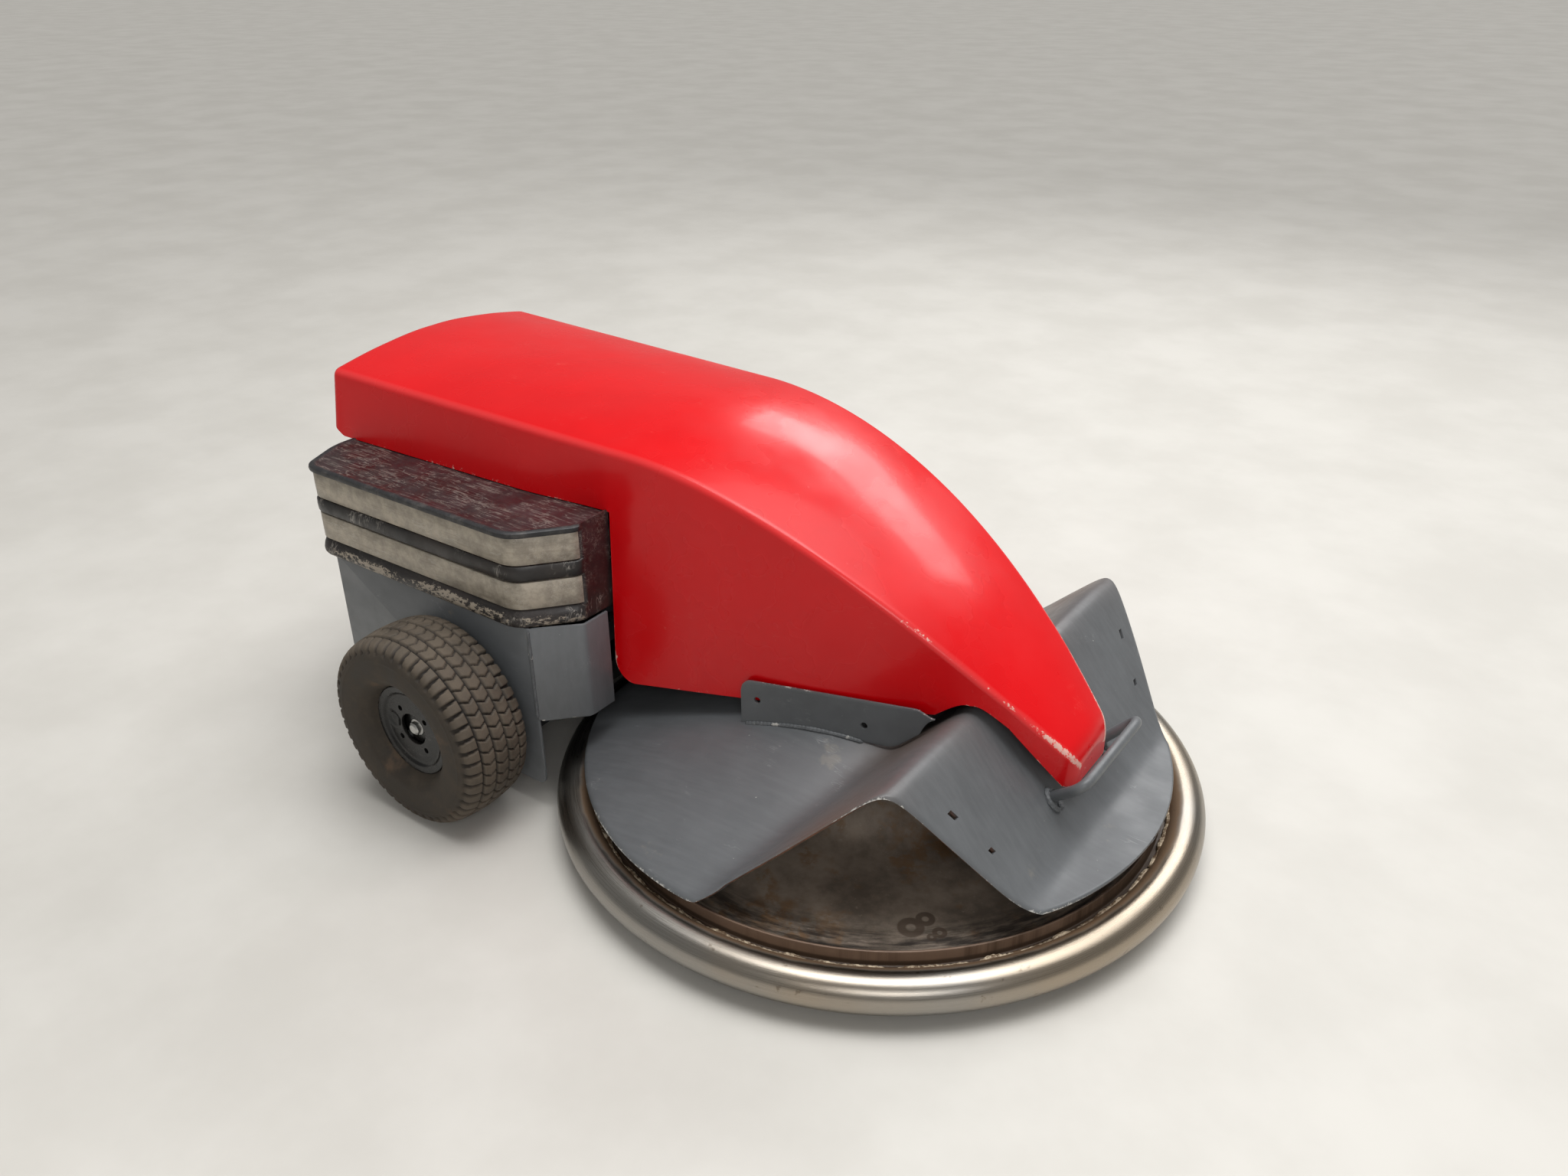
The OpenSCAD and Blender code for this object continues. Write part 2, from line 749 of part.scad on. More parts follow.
module disc_plate() {
    t = disc_plate_t;
    out = ring_radius - 25.2 * ring_tube / 52;
    color("sienna")
    rotate_extrude($fn = 128)
    polygon([
        [bearing_r - 4, boss_top - t], [bearing_r - 4, boss_top], [boss_r, boss_top],
        [boss_foot, disc_top], [lip_r - 3, disc_top], [lip_r - 3, disc_top + lip_height],
        [lip_r, disc_top + lip_height], [lip_r, ring_z + 8], [out, ring_z + 8],
        [out, ring_z + 8 - t], [lip_r - t, ring_z + 8 - t],
        [lip_r - t, disc_top - t], [boss_foot - 2, disc_top - t],
        [boss_r - 2, boss_top - t]
    ]);
}
module disc_ring() {
    color("lightslategray")
    translate([0, 0, ring_z])
    rotate_extrude($fn = 128)
    translate([ring_radius, 0])
    difference() {
        circle(d = ring_tube);
        circle(d = ring_tube - 2 * ring_wall);
    }
}
module disc_bolts() {
    color("silver")
    for (a = [30 : 60 : 330])
    rotate([0, 0, a])
    translate([70, 0, boss_top + 7 + 2 * eps]) {
        cylinder(r = 9, h = 8, $fn = 6);
    }
}

// ---- caster under the disc ----
module caster_fork() {
    gap = 18;
    color("silver") {
        cylinder_stem();
        translate([-caster_trail - 16, -gap - 4, fork_top - 5])
        cube([caster_trail + 36, 2 * gap + 8, 5]);
        for (s = [-1, 1])
        difference() {
            translate([-caster_trail - 12, s > 0 ? gap : -gap - 4, caster_r - 14])
            cube([24, 4, fork_top - caster_r + 10]);
            translate([-caster_trail, -gap - 6, caster_r])
            rotate([-90, 0, 0])
            cylinder(r = 6, h = 2 * gap + 12);
        }
    }
}
module cylinder_stem() {
    translate([0, 0, fork_top - 1])
    cylinder(r = stem_r, h = 58);
    translate([0, 0, fork_top - 1])
    cylinder(r = 14, h = 5);
}
module caster_axle() {
    color("silver")
    translate([-caster_trail, -26, caster_r])
    rotate([-90, 0, 0])
    cylinder(r = 6, h = 52);
}
module caster_wheel() {
    color("silver")
    translate([-caster_trail, -16, caster_r])
    rotate([-90, 0, 0])
    difference() {
        cylinder(r = caster_r - 10, h = 32);
        translate([0, 0, -1])
        cylinder(r = 6 + run_fit, h = 34);
    }
}
module caster_tyre() {
    color("dimgray")
    translate([-caster_trail, -14, caster_r])
    rotate([-90, 0, 0])
    rotate_extrude()
    polygon([[caster_r - 9.98, 0], [caster_r - 3, 0], [caster_r, 5],
        [caster_r, 23], [caster_r - 3, 28], [caster_r - 9.98, 28]]);
}

// ---- hood ----
hood_stations = concat(
    [for (i = [0 : 2]) hood_x0 + 11 * i],
    [for (i = [1 : 11]) hood_x0 + 22 + (step_x - 0.5 - hood_x0 - 22) * i / 11],
    [for (i = [0 : 6]) step_x + 28 * (1 - cos(15 * i))],
    [for (i = [1 : 15]) skirt_x0 + (arch_x - skirt_x0) * i / 15],
    [for (i = [1 : 24]) arch_x + (nose_x - arch_x) * i / 24]);
side_steps = 7;
crown_steps = 12;
// One cross-section, from the right lower edge over the crown to the left
function hood_section(x, inset) = let (
    w = edge_half(x) - inset, z0 = skirt_z(x), z1 = edge_z(x) - inset,
    c = crown_z(x), f = flare(x), side = [for (i = [0 : side_steps - 1])
        let (t = i / side_steps) [w + f * (1 - t), z0 + (z1 - z0) * t]],
    top = [for (i = [0 : crown_steps]) let (u = 1 - 2 * i / crown_steps)
        [w * u, z1 + c * (1 - u * u)]])
    concat([for (p = side) [x, -p[0], p[1]]], [for (p = top) [x, -p[0], p[1]]],
        [for (i = [side_steps - 1 : -1 : 0]) [x, side[i][0], side[i][1]]]);
// Flat end of the hood: a ladder of triangles between its left and right
function hood_cap(m, o, back) = [for (j = [0 : (m - 3) / 2], e = [0, 1])
    let (a = o + j, b = o + j + 1, c = o + m - 2 - j, d = o + m - 1 - j,
        t = e == 0 ? [a, b, d] : [b, c, d])
    if (b != c || e == 0) back ? [t[0], t[2], t[1]] : t];
module hood_shell() {
    n = len(hood_stations);
    m = 2 * side_steps + crown_steps + 1;
    outer = [for (x = hood_stations) hood_section(x, 0)];
    inner = [for (i = [0 : n - 1]) let (x = hood_stations[i], s = hood_section(x, hood_t))
        [for (p = s) [i == 0 ? x + hood_t : (i == n - 1 ? x - hood_t : x), p[1], p[2]]]];
    k = n * m;
    faces = concat(
        [for (i = [0 : n - 2], j = [0 : m - 2]) [i * m + j, (i + 1) * m + j + 1, (i + 1) * m + j]],
        [for (i = [0 : n - 2], j = [0 : m - 2]) [i * m + j, i * m + j + 1, (i + 1) * m + j + 1]],
        [for (i = [0 : n - 2], j = [0 : m - 2])
            [k + i * m + j, k + (i + 1) * m + j, k + (i + 1) * m + j + 1]],
        [for (i = [0 : n - 2], j = [0 : m - 2])
            [k + i * m + j, k + (i + 1) * m + j + 1, k + i * m + j + 1]],
        [for (i = [0 : n - 2]) [i * m, (i + 1) * m, k + (i + 1) * m]],
        [for (i = [0 : n - 2]) [i * m, k + (i + 1) * m, k + i * m]],
        [for (i = [0 : n - 2]) [i * m + m - 1, k + (i + 1) * m + m - 1, (i + 1) * m + m - 1]],
        [for (i = [0 : n - 2]) [i * m + m - 1, k + i * m + m - 1, k + (i + 1) * m + m - 1]],
        hood_cap(m, 0, true), hood_cap(m, k, false),
        hood_cap(m, (n - 1) * m, false), hood_cap(m, k + (n - 1) * m, true),
        [[0, k, k + m - 1], [0, k + m - 1, m - 1]],
        [[(n - 1) * m, k + (n - 1) * m + m - 1, k + (n - 1) * m],
         [(n - 1) * m, (n - 1) * m + m - 1, k + (n - 1) * m + m - 1]]);
    color("red")
    polyhedron(concat([for (r = outer) each r], [for (r = inner) each r]), faces);
}

// Cross ribs under the crown: each follows the section at its station
rib_x = [hood_x0 + 120, step_x - 60, -100];
module hood_ribs() {
    color("firebrick")
    for (x = rib_x)
    let (w = edge_half(x) - hood_t - 2, z = edge_z(x) - hood_t - 0.5, c = crown_z(x))
    translate([x, 0, 0])
    rotate([90, 0, 90])
    linear_extrude(3)
    polygon(concat(
        [for (i = [0 : 12]) let (u = 1 - i / 6) [w * u, z - 1 + c * (1 - u * u)]],
        [for (i = [0 : 12]) let (u = i / 6 - 1) [w * u, z - 22 + c * (1 - u * u)]]));
}

on_floor() side_plate();  // side_plate_left
on_floor() both_sides(-1) side_plate();  // side_plate_right
on_floor() rear_plate();
on_floor() floor_pan();
on_floor() front_plate();  // front_plate_left
on_floor() both_sides(-1) front_plate();  // front_plate_right
on_floor() rail();  // rail_left
on_floor() both_sides(-1) rail();  // rail_right
on_floor() cross_tubes();
on_floor() bearing_plate();
on_floor() battery_tray();
on_floor() battery();  // battery_left
on_floor() both_sides(-1) battery();  // battery_right
on_floor() battery_strap();
on_floor() control_box();
on_floor() control_lid();
on_floor() side_box();  // side_box_left
on_floor() both_sides(-1) side_box();  // side_box_right
on_floor() strips();  // strips_left
on_floor() both_sides(-1) strips();  // strips_right
on_floor() guard_sheet();
on_floor() guard_posts();
on_floor() flange();  // flange_left
on_floor() both_sides(-1) flange();  // flange_right
on_floor() nose_bar();
on_floor() gearbox();  // gearbox_left
on_floor() both_sides(-1) gearbox();  // gearbox_right
on_floor() drive_motor();  // drive_motor_left
on_floor() both_sides(-1) drive_motor();  // drive_motor_right
on_floor() shaft();  // shaft_left
on_floor() both_sides(-1) shaft();  // shaft_right
on_floor() hub();  // hub_left
on_floor() both_sides(-1) hub();  // hub_right
on_floor() rim();  // rim_left
on_floor() both_sides(-1) rim();  // rim_right
on_floor() tyre();  // tyre_left
on_floor() both_sides(-1) tyre();  // tyre_right
on_floor() wheel_bolts();  // wheel_bolts_left
on_floor() both_sides(-1) wheel_bolts();  // wheel_bolts_right
on_floor() spindle();
on_floor() bearing(bearing_z[1]);  // bearing_upper
on_floor() bearing(bearing_z[0]);  // bearing_lower
on_floor() disc_hub();
on_floor() disc_gear();
on_floor() disc_plate();
on_floor() disc_ring();
on_floor() disc_bolts();
on_floor() disc_motor();
on_floor() pinion();
on_floor() caster_fork();
on_floor() caster_axle();
on_floor() caster_wheel();
on_floor() caster_tyre();
on_floor() hood_shell();
on_floor() hood_ribs();
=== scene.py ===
import math

import bmesh
import bpy
import numpy as np
from bpy.props import FloatProperty, FloatVectorProperty, IntProperty
from mathutils import Matrix, Vector


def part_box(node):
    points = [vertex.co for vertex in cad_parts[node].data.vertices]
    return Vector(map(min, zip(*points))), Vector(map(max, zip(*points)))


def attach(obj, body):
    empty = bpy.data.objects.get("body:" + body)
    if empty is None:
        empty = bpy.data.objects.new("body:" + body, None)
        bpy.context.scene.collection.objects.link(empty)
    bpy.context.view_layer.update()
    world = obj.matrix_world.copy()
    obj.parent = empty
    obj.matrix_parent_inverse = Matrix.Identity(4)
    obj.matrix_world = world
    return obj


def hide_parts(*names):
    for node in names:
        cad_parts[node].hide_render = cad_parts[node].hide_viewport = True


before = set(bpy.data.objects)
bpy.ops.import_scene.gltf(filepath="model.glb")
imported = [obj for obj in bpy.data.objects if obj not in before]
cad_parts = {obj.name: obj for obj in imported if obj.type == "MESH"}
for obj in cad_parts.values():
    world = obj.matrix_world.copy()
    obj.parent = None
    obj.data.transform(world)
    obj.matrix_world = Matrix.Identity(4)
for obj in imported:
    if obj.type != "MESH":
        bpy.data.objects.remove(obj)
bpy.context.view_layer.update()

bl_info = {
    "name": "Floor sweeping robot finishes",
    "version": (1, 0, 0),
    "blender": (4, 5, 0),
    "location": "View3D > Sidebar > Sweeper",
    "description": "Finished sheet metal, tyres, disc and paint for a self-propelled floor sweeper",
    "category": "Add Mesh",
}

# Shapes are worked out in millimetres from the disc's axis: +x forward, +y left, z up.
MM = 0.001
SIDES = ((1, "left"), (-1, "right"))
_ring_low, _ring_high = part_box("disc_ring")
AXIS_X = (_ring_low[0] + _ring_high[0]) / 2 / MM


def corners(node):
    """Lowest and highest corner of a CAD node, in millimetres from the disc's axis."""
    low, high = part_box(node)
    shift = np.array([AXIS_X, 0.0, 0.0])
    return np.array(low) / MM - shift, np.array(high) / MM - shift


RING_LOW, RING_HIGH = corners("disc_ring")
TUBE_R = (RING_HIGH[2] - RING_LOW[2]) / 2
RING_Z = (RING_HIGH[2] + RING_LOW[2]) / 2
RING_R = RING_HIGH[0] - TUBE_R
DISC_LOW, DISC_HIGH = corners("disc_plate")
GUARD_LOW, _ = corners("guard_sheet")
TYRE_LOW, TYRE_HIGH = corners("tyre_left")
_, HUB_HIGH = corners("hub_left")
HOOD_LOW, HOOD_HIGH = corners("hood_shell")
SIDE_LOW, SIDE_HIGH = corners("side_plate_left")
FRONT_LOW, FRONT_HIGH = corners("front_plate_left")
STRIP_LOW, STRIP_HIGH = corners("strips_left")
BOX_LOW, BOX_HIGH = corners("side_box_left")
BAR_LOW, BAR_HIGH = corners("nose_bar")
BAR_MID = (BAR_LOW[1] + BAR_HIGH[1]) / 2

GUARD_R = -GUARD_LOW[1]
GUARD_FRONT_R = GUARD_R - 8
RIM_Z = RING_HIGH[2] + 25
FRONT_RIM_Z = RIM_Z + 10
RIDGE_X = 187.0
RIDGE_RISE = 178.0
RIDGE_PEAK = RIM_Z + RIDGE_RISE
RIDGE_ROUND = 17.0
FRONT_SLOPE = 1.18
GUARD_RISE = 165.0
CORNER_ANGLE = math.radians(30.5)
GUARD_BOW = 45.0
RIDGE_SAG, SAG_FROM = 16.0, 230.0
WHEEL_X = (TYRE_LOW[0] + TYRE_HIGH[0]) / 2
WHEEL_R = (TYRE_HIGH[2] - TYRE_LOW[2]) / 2
WHEEL_MID_Y = (TYRE_LOW[1] + TYRE_HIGH[1]) / 2
WHEEL_HALF_W = (TYRE_HIGH[1] - TYRE_LOW[1]) / 2
POINTS_PER_BLOCK = 12
TREAD_ROWS = (0.19, 0.57)    # where the grooves round a tyre run, in parts of its half width
STEP_X = FRONT_HIGH[0] - 4
NOSE_X = HOOD_HIGH[0]
NOSE_TOP = 206.0
HOOD_EDGE_TOP = 512.0
HOOD_REAR_RISE = 13.0
NOSE_HALF = 50.0
SHOULDER_HALF = 178.0
HOOD_CROWN = 22.0
HOOD_FLARE = 14.0
SKIRT_Z = 178.0          # lower edge of the apron where it starts
SKIRT_CURVE = 28.0       # length of the rounded corner at the apron's rear
ARCH_X = RIDGE_X - 40
ARCH_Z = RIDGE_PEAK - 20
FLANGE_X0, FLANGE_Y0, FLANGE_TURN = -104.0, 176.0, math.radians(10.7)
FLANGE_T = 3.0
FLANGE_HOLES = ((24, -28), (172, -41))      # along the flange, and below its top
HUB_HOLE_R = 52.0
PINION_HOLE_R = 24.0
HOOD_INNER_Y = 181.0     # where the side boxes meet the hood
STRIP_WIDE = 39.0
SHEET_T = 4.0            # chassis plates and the disc
JOINT_X = -612.0         # seam across the top of a side box
STAIN_RINGS = ((212, -268, 11), (219, -246, 8), (244, -256, 6), (240, -268, 4))     # x, y, radius


# ---------------------------------------------------------------- settings
class SweeperHood(bpy.types.PropertyGroup):
    crease: FloatProperty(
        name="Crease rounding", description="Rounding of the fold between the hood's top and sides",
        default=0.009, min=0.003, max=0.018, unit="LENGTH")
    nose_round: FloatProperty(
        name="Nose rounding", description="Rounding of the hood's front end",
        default=0.014, min=0.004, max=0.02, unit="LENGTH")
    sheet: FloatProperty(
        name="Sheet", description="Thickness of the hood's sheet",
        default=0.003, min=0.001, max=0.005, unit="LENGTH")
    paint: FloatVectorProperty(
        name="Paint", description="Colour of the hood's gloss paint",
        default=(0.66, 0.001, 0.004), size=3, min=0, max=1, subtype="COLOR")


class SweeperGuard(bpy.types.PropertyGroup):
    sheet: FloatProperty(
        name="Sheet", description="Thickness of the guard sheet",
        default=0.005, min=0.003, max=0.007, unit="LENGTH")
    edge: FloatProperty(
        name="Rolled edge", description="Width of the rolled edge round the guard sheet",
        default=0.007, min=0.002, max=0.012, unit="LENGTH")
    bar: FloatProperty(
        name="Bar", description="Diameter of the round bar before the nose",
        default=0.014, min=0.01, max=0.018, unit="LENGTH")
    paint: FloatVectorProperty(
        name="Paint", description="Colour of the grey paint on guard and chassis",
        default=(0.108, 0.114, 0.12), size=3, min=0, max=1, subtype="COLOR")


class SweeperDisc(bpy.types.PropertyGroup):
    bead: FloatProperty(
        name="Weld bead", description="Radius of the weld bead inside the ring",
        default=0.0034, min=0.002, max=0.006, unit="LENGTH")
    ring: FloatVectorProperty(
        name="Ring", description="Colour of the ring's bare steel",
        default=(0.4, 0.38, 0.35), size=3, min=0, max=1, subtype="COLOR")
    plate: FloatVectorProperty(
        name="Plate", description="Colour of the disc's rubbed steel",
        default=(0.26, 0.21, 0.165), size=3, min=0, max=1, subtype="COLOR")


class SweeperWheels(bpy.types.PropertyGroup):
    blocks: IntProperty(
        name="Blocks", description="Tread blocks in each row round a tyre",
        default=48, min=30, max=60)
    tread: FloatProperty(
        name="Tread depth", description="Depth of the grooves between the tread blocks",
        default=0.0055, min=0.002, max=0.008, unit="LENGTH")
    rubber: FloatVectorProperty(
        name="Rubber", description="Colour of the dusty tyre rubber",
        default=(0.088, 0.07, 0.052), size=3, min=0, max=1, subtype="COLOR")


class SweeperBoxes(bpy.types.PropertyGroup):
    lip: FloatProperty(
        name="Rubber lip", description="How far the rubber lip stands out past the side box",
        default=0.0045, min=0.001, max=0.008, unit="LENGTH")
    corner: FloatProperty(
        name="Corners", description="Rounding of the side box's corners",
        default=0.02, min=0.005, max=0.03, unit="LENGTH")
    paint: FloatVectorProperty(
        name="Paint", description="Colour of the side boxes under the scratches",
        default=(0.036, 0.014, 0.016), size=3, min=0, max=1, subtype="COLOR")
    strips: FloatVectorProperty(
        name="Strips", description="Colour of the worn stainless strips",
        default=(0.44, 0.39, 0.32), size=3, min=0, max=1, subtype="COLOR")


SETTINGS = {
    "sweeper_hood": SweeperHood, "sweeper_guard": SweeperGuard, "sweeper_disc": SweeperDisc,
    "sweeper_wheels": SweeperWheels, "sweeper_boxes": SweeperBoxes,
}


def setting(group):
    return getattr(bpy.context.scene, group)


# ---------------------------------------------------------------- shape formulas
def smooth(low, high, value):
    """Smooth step: 0 below low, 1 above high, 3t^2 - 2t^3 between."""
    t = np.clip((value - low) / (high - low), 0, 1)
    return t * t * (3 - 2 * t)


def round_angles(count):
    """Evenly spaced angles round one full turn, the first not repeated."""
    return np.linspace(0, 2 * math.pi, count, endpoint=False)


def soft_min(a, b, k):
    """The lower of two values, rounded over a width of k where they cross."""
    return -k * np.log(np.exp(-a / k) + np.exp(-b / k))


def soft_max(a, b, k):
    """The higher of two values, rounded over a width of k where they cross."""
    top = np.maximum(a, b)
    return top + k * np.log(np.exp((a - top) / k) + np.exp((b - top) / k))


def ridge_z(x):
    """Two straight flanks that meet at the ridge, with a soft crest."""
    rear = RIM_Z + RIDGE_RISE / RIDGE_X * x
    return soft_min(rear, RIDGE_PEAK - FRONT_SLOPE * (x - RIDGE_X), RIDGE_ROUND)


def guard_z(x, y):
    """A shallow cone behind, a level rim in front, and the ridge across, softly joined. The
    ridge's left end sags as the square of the distance past where it starts."""
    sag = RIDGE_SAG * np.clip((y - SAG_FROM) / (GUARD_R - SAG_FROM), 0, 1) ** 2
    cone = RIM_Z + GUARD_RISE * np.maximum(0, 1 - np.hypot(x, y) / GUARD_R)
    return soft_max(ridge_z(x) - sag, np.where(x < RIDGE_X, cone, FRONT_RIM_Z),
                    np.where(x < RIDGE_X, 6.0, 12.0))


def guard_half(x):
    """Half width of the guard: the rear circle, straight cut edges, then the front arc."""
    corner_x = GUARD_FRONT_R * math.cos(CORNER_ANGLE)
    corner_y = GUARD_FRONT_R * math.sin(CORNER_ANGLE)
    rear = np.sqrt(np.maximum(0, GUARD_R**2 - x * x))
    front = np.sqrt(np.maximum(0, GUARD_FRONT_R**2 - x * x))
    return np.where(x < 0, rear, np.where(x < corner_x, GUARD_R + (corner_y - GUARD_R) * x / corner_x, front))


def guard_bow(x):
    """How far the left cut edge bows out past the right one: half a sine wave."""
    corner_x = GUARD_FRONT_R * math.cos(CORNER_ANGLE)
    return GUARD_BOW * np.sin(math.pi * np.clip(x / corner_x, 0, 1))


def wobble(x, y, size):
    """Slow uneven swell of a hand-worked sheet: three crossed sine waves."""
    return size * (np.sin(x / 47 + 0.6) * np.sin(y / 61 + 1.1)
                   + 0.6 * np.sin((x + 0.7 * y) / 29) * np.sin((y - 0.5 * x) / 83)
                   + 0.4 * np.sin((x - y) / 113 + 2.0))


def round_corners(points, radii, steps=6):
    """Open line through points with each inner corner replaced by a quadratic curve that starts
    and ends one radius along the two legs."""
    points = np.asarray(points, float)
    out = [points[:1]]
    t = np.linspace(0, 1, steps)[:, None]
    for before, corner, after, radius in zip(points, points[1:], points[2:], radii):
        a = before - corner
        b = after - corner
        start = corner + a / np.linalg.norm(a) * min(radius, np.linalg.norm(a) * 0.49)
        end = corner + b / np.linalg.norm(b) * min(radius, np.linalg.norm(b) * 0.49)
        out.append((1 - t) ** 2 * start + 2 * t * (1 - t) * corner + t * t * end)
    return np.concatenate(out + [points[-1:]])


def resample(points, step):
    """The same line with points added so that none lie more than one step apart."""
    points = np.asarray(points, float)
    run = np.concatenate([[0], np.cumsum(np.linalg.norm(np.diff(points, axis=0), axis=1))])
    count = np.maximum(1, np.ceil(np.diff(run) / step).astype(int))
    at = np.concatenate([np.linspace(a, b, n, endpoint=False) for a, b, n in zip(run, run[1:], count)]
                        + [run[-1:]])
    return np.stack([np.interp(at, run, points[:, k]) for k in range(points.shape[1])], 1)


def loop_closed(points, radii, steps=5):
    """Closed outline with rounded corners, its last point not repeated."""
    points = np.asarray(points, float)
    middle = (points[0] + points[-1]) / 2
    line = np.concatenate([[middle], points, [middle]])
    return round_corners(line, radii, steps)[:-1]


# ---------------------------------------------------------------- surfaces
def surface(grid, wrap_rows=False, wrap_cols=False, caps=False, outward=None, drop=None, **marks):
    """Quads over a grid of points (rows, columns, 3), turned so that they face outwards: along
    the given direction, or out of the solid they close. drop is a mask of quads left out."""
    rows, cols = grid.shape[:2]
    i = np.arange(rows if wrap_rows else rows - 1)[:, None]
    j = np.arange(cols if wrap_cols else cols - 1)[None, :]
    i2, j2 = (i + 1) % rows, (j + 1) % cols
    quads = np.stack(np.broadcast_arrays(i * cols + j, i2 * cols + j, i2 * cols + j2, i * cols + j2), -1)
    if drop is not None:
        quads = quads[~drop]
    quads = quads.reshape(-1, 4)
    points = grid.reshape(-1, 3)
    ends = []
    if caps:
        ends = [np.arange(cols), np.arange(cols)[::-1] + (rows - 1) * cols]
    a, b, c, d = (points[quads[:, k]] for k in range(4))
    if outward is None:
        size = (a * np.cross(b, c)).sum() + (a * np.cross(c, d)).sum()
        for end in ends:
            p = points[end]
            size += (p[0] * np.cross(p[1:-1], p[2:])).sum()
    else:
        size = (np.cross(c - a, d - b) @ np.asarray(outward, float)).sum()
    if size < 0:
        quads = quads[:, ::-1]
        ends = [end[::-1] for end in ends]
    faces = quads.tolist() + [end.tolist() for end in ends]
    return {"points": points, "faces": faces,
            "marks": {k: np.broadcast_to(v, (rows, cols)).reshape(-1) for k, v in marks.items()}}


def slab(outline, place, thickness):
    """Flat plate: a closed outline of points, carried to its two faces by place(points, depth)."""
    grid = np.stack([place(outline, 0.0), place(outline, thickness)])
    return surface(grid, wrap_cols=True, caps=True)


def lathe(profile, place, segments, ripple=None):
    """A profile of (radius, height) turned about an axis; place(x, y, height) puts it in the
    frame, and ripple(radius, height, angle) may move the height."""
    angle = round_angles(segments)[:, None]
    radius, height = profile[None, :, 0], profile[None, :, 1]
    height = np.broadcast_to(height, (segments, len(profile)))
    if ripple is not None:
        height = height + ripple(radius, height, angle)
    return place(radius * np.cos(angle), radius * np.sin(angle), height)


def upright(x, y, z):
    return np.stack(np.broadcast_arrays(x, y, z), -1)


def on_axle(side):
    """Places turned parts round the wheel's axle: height runs outwards from the middle."""
    def place(x, y, z):
        return np.stack(np.broadcast_arrays(WHEEL_X + x, side * z, WHEEL_R + y), -1)
    return place


def sweep(path, across, up):
    """A cross-section carried along a path. across gives (points of path, points of section, 2)
    sideways and upward offsets; sideways is across the path and the given up direction."""
    along = np.gradient(path, axis=0)
    along /= np.linalg.norm(along, axis=1)[:, None]
    side = np.cross(np.broadcast_to(up, along.shape), along)
    side /= np.linalg.norm(side, axis=1)[:, None]
    rise = np.cross(along, side)
    return path[:, None] + across[..., :1] * side[:, None] + across[..., 1:] * rise[:, None]


def rod(path, radius, up, sides=14):
    """Round bar along a path, closed at both ends."""
    a = round_angles(sides)
    ring = np.stack([np.cos(a), np.sin(a)], -1)
    radius = np.broadcast_to(radius, len(path))
    return surface(sweep(path, radius[:, None, None] * ring, up), wrap_cols=True, caps=True)


def weld(path, radius, up=(0, 0, 1), pitch=5.5):
    """Weld bead: a round bar whose radius swells once each pitch and drifts slowly."""
    path = resample(path, pitch / 4)
    run = np.concatenate([[0], np.cumsum(np.linalg.norm(np.diff(path, axis=0), axis=1))])
    swell = radius * (1 + 0.22 * np.abs(np.sin(math.pi * run / pitch))
                      + 0.18 * np.sin(run / 23) * np.sin(run / 9.1))
    swell = swell * np.clip(np.minimum(run, run[-1] - run) / 4 + 0.15, 0, 1)
    return rod(path, swell, up, 8)


def hex_head(place, across, height, washer=0.0):
    """Hexagon bolt head: radius follows a hexagon round the angle, and its top edge is turned
    down; a washer of its own radius lies under it."""
    angle = round_angles(36)[None, :]
    hexagon = across / 2 / np.cos((angle % (math.pi / 3)) - math.pi / 6)
    levels = np.array([[0, 1.0], [0.72, 1.0], [0.9, 0.95], [1.0, 0.84], [1.0, 0.0]])
    cut = np.minimum(hexagon * levels[:, 1:], across / 2 * (1.1 - 0.2 * (levels[:, :1] > 0.8))
                     * np.maximum(levels[:, 1:], 0.001))
    under = [surface(place(cut * np.cos(angle), cut * np.sin(angle), washer * 0.16 + levels[:, :1] * height),
                     wrap_cols=True, caps=True)]
    if washer:
        profile = np.array([[0.01, 0], [washer * 0.94, 0], [washer, 0.6], [washer, washer * 0.13],
                            [washer * 0.95, washer * 0.16], [0.01, washer * 0.16]])
        under.append(surface(lathe(profile, place, 36), wrap_rows=True, wrap_cols=True))
    return under


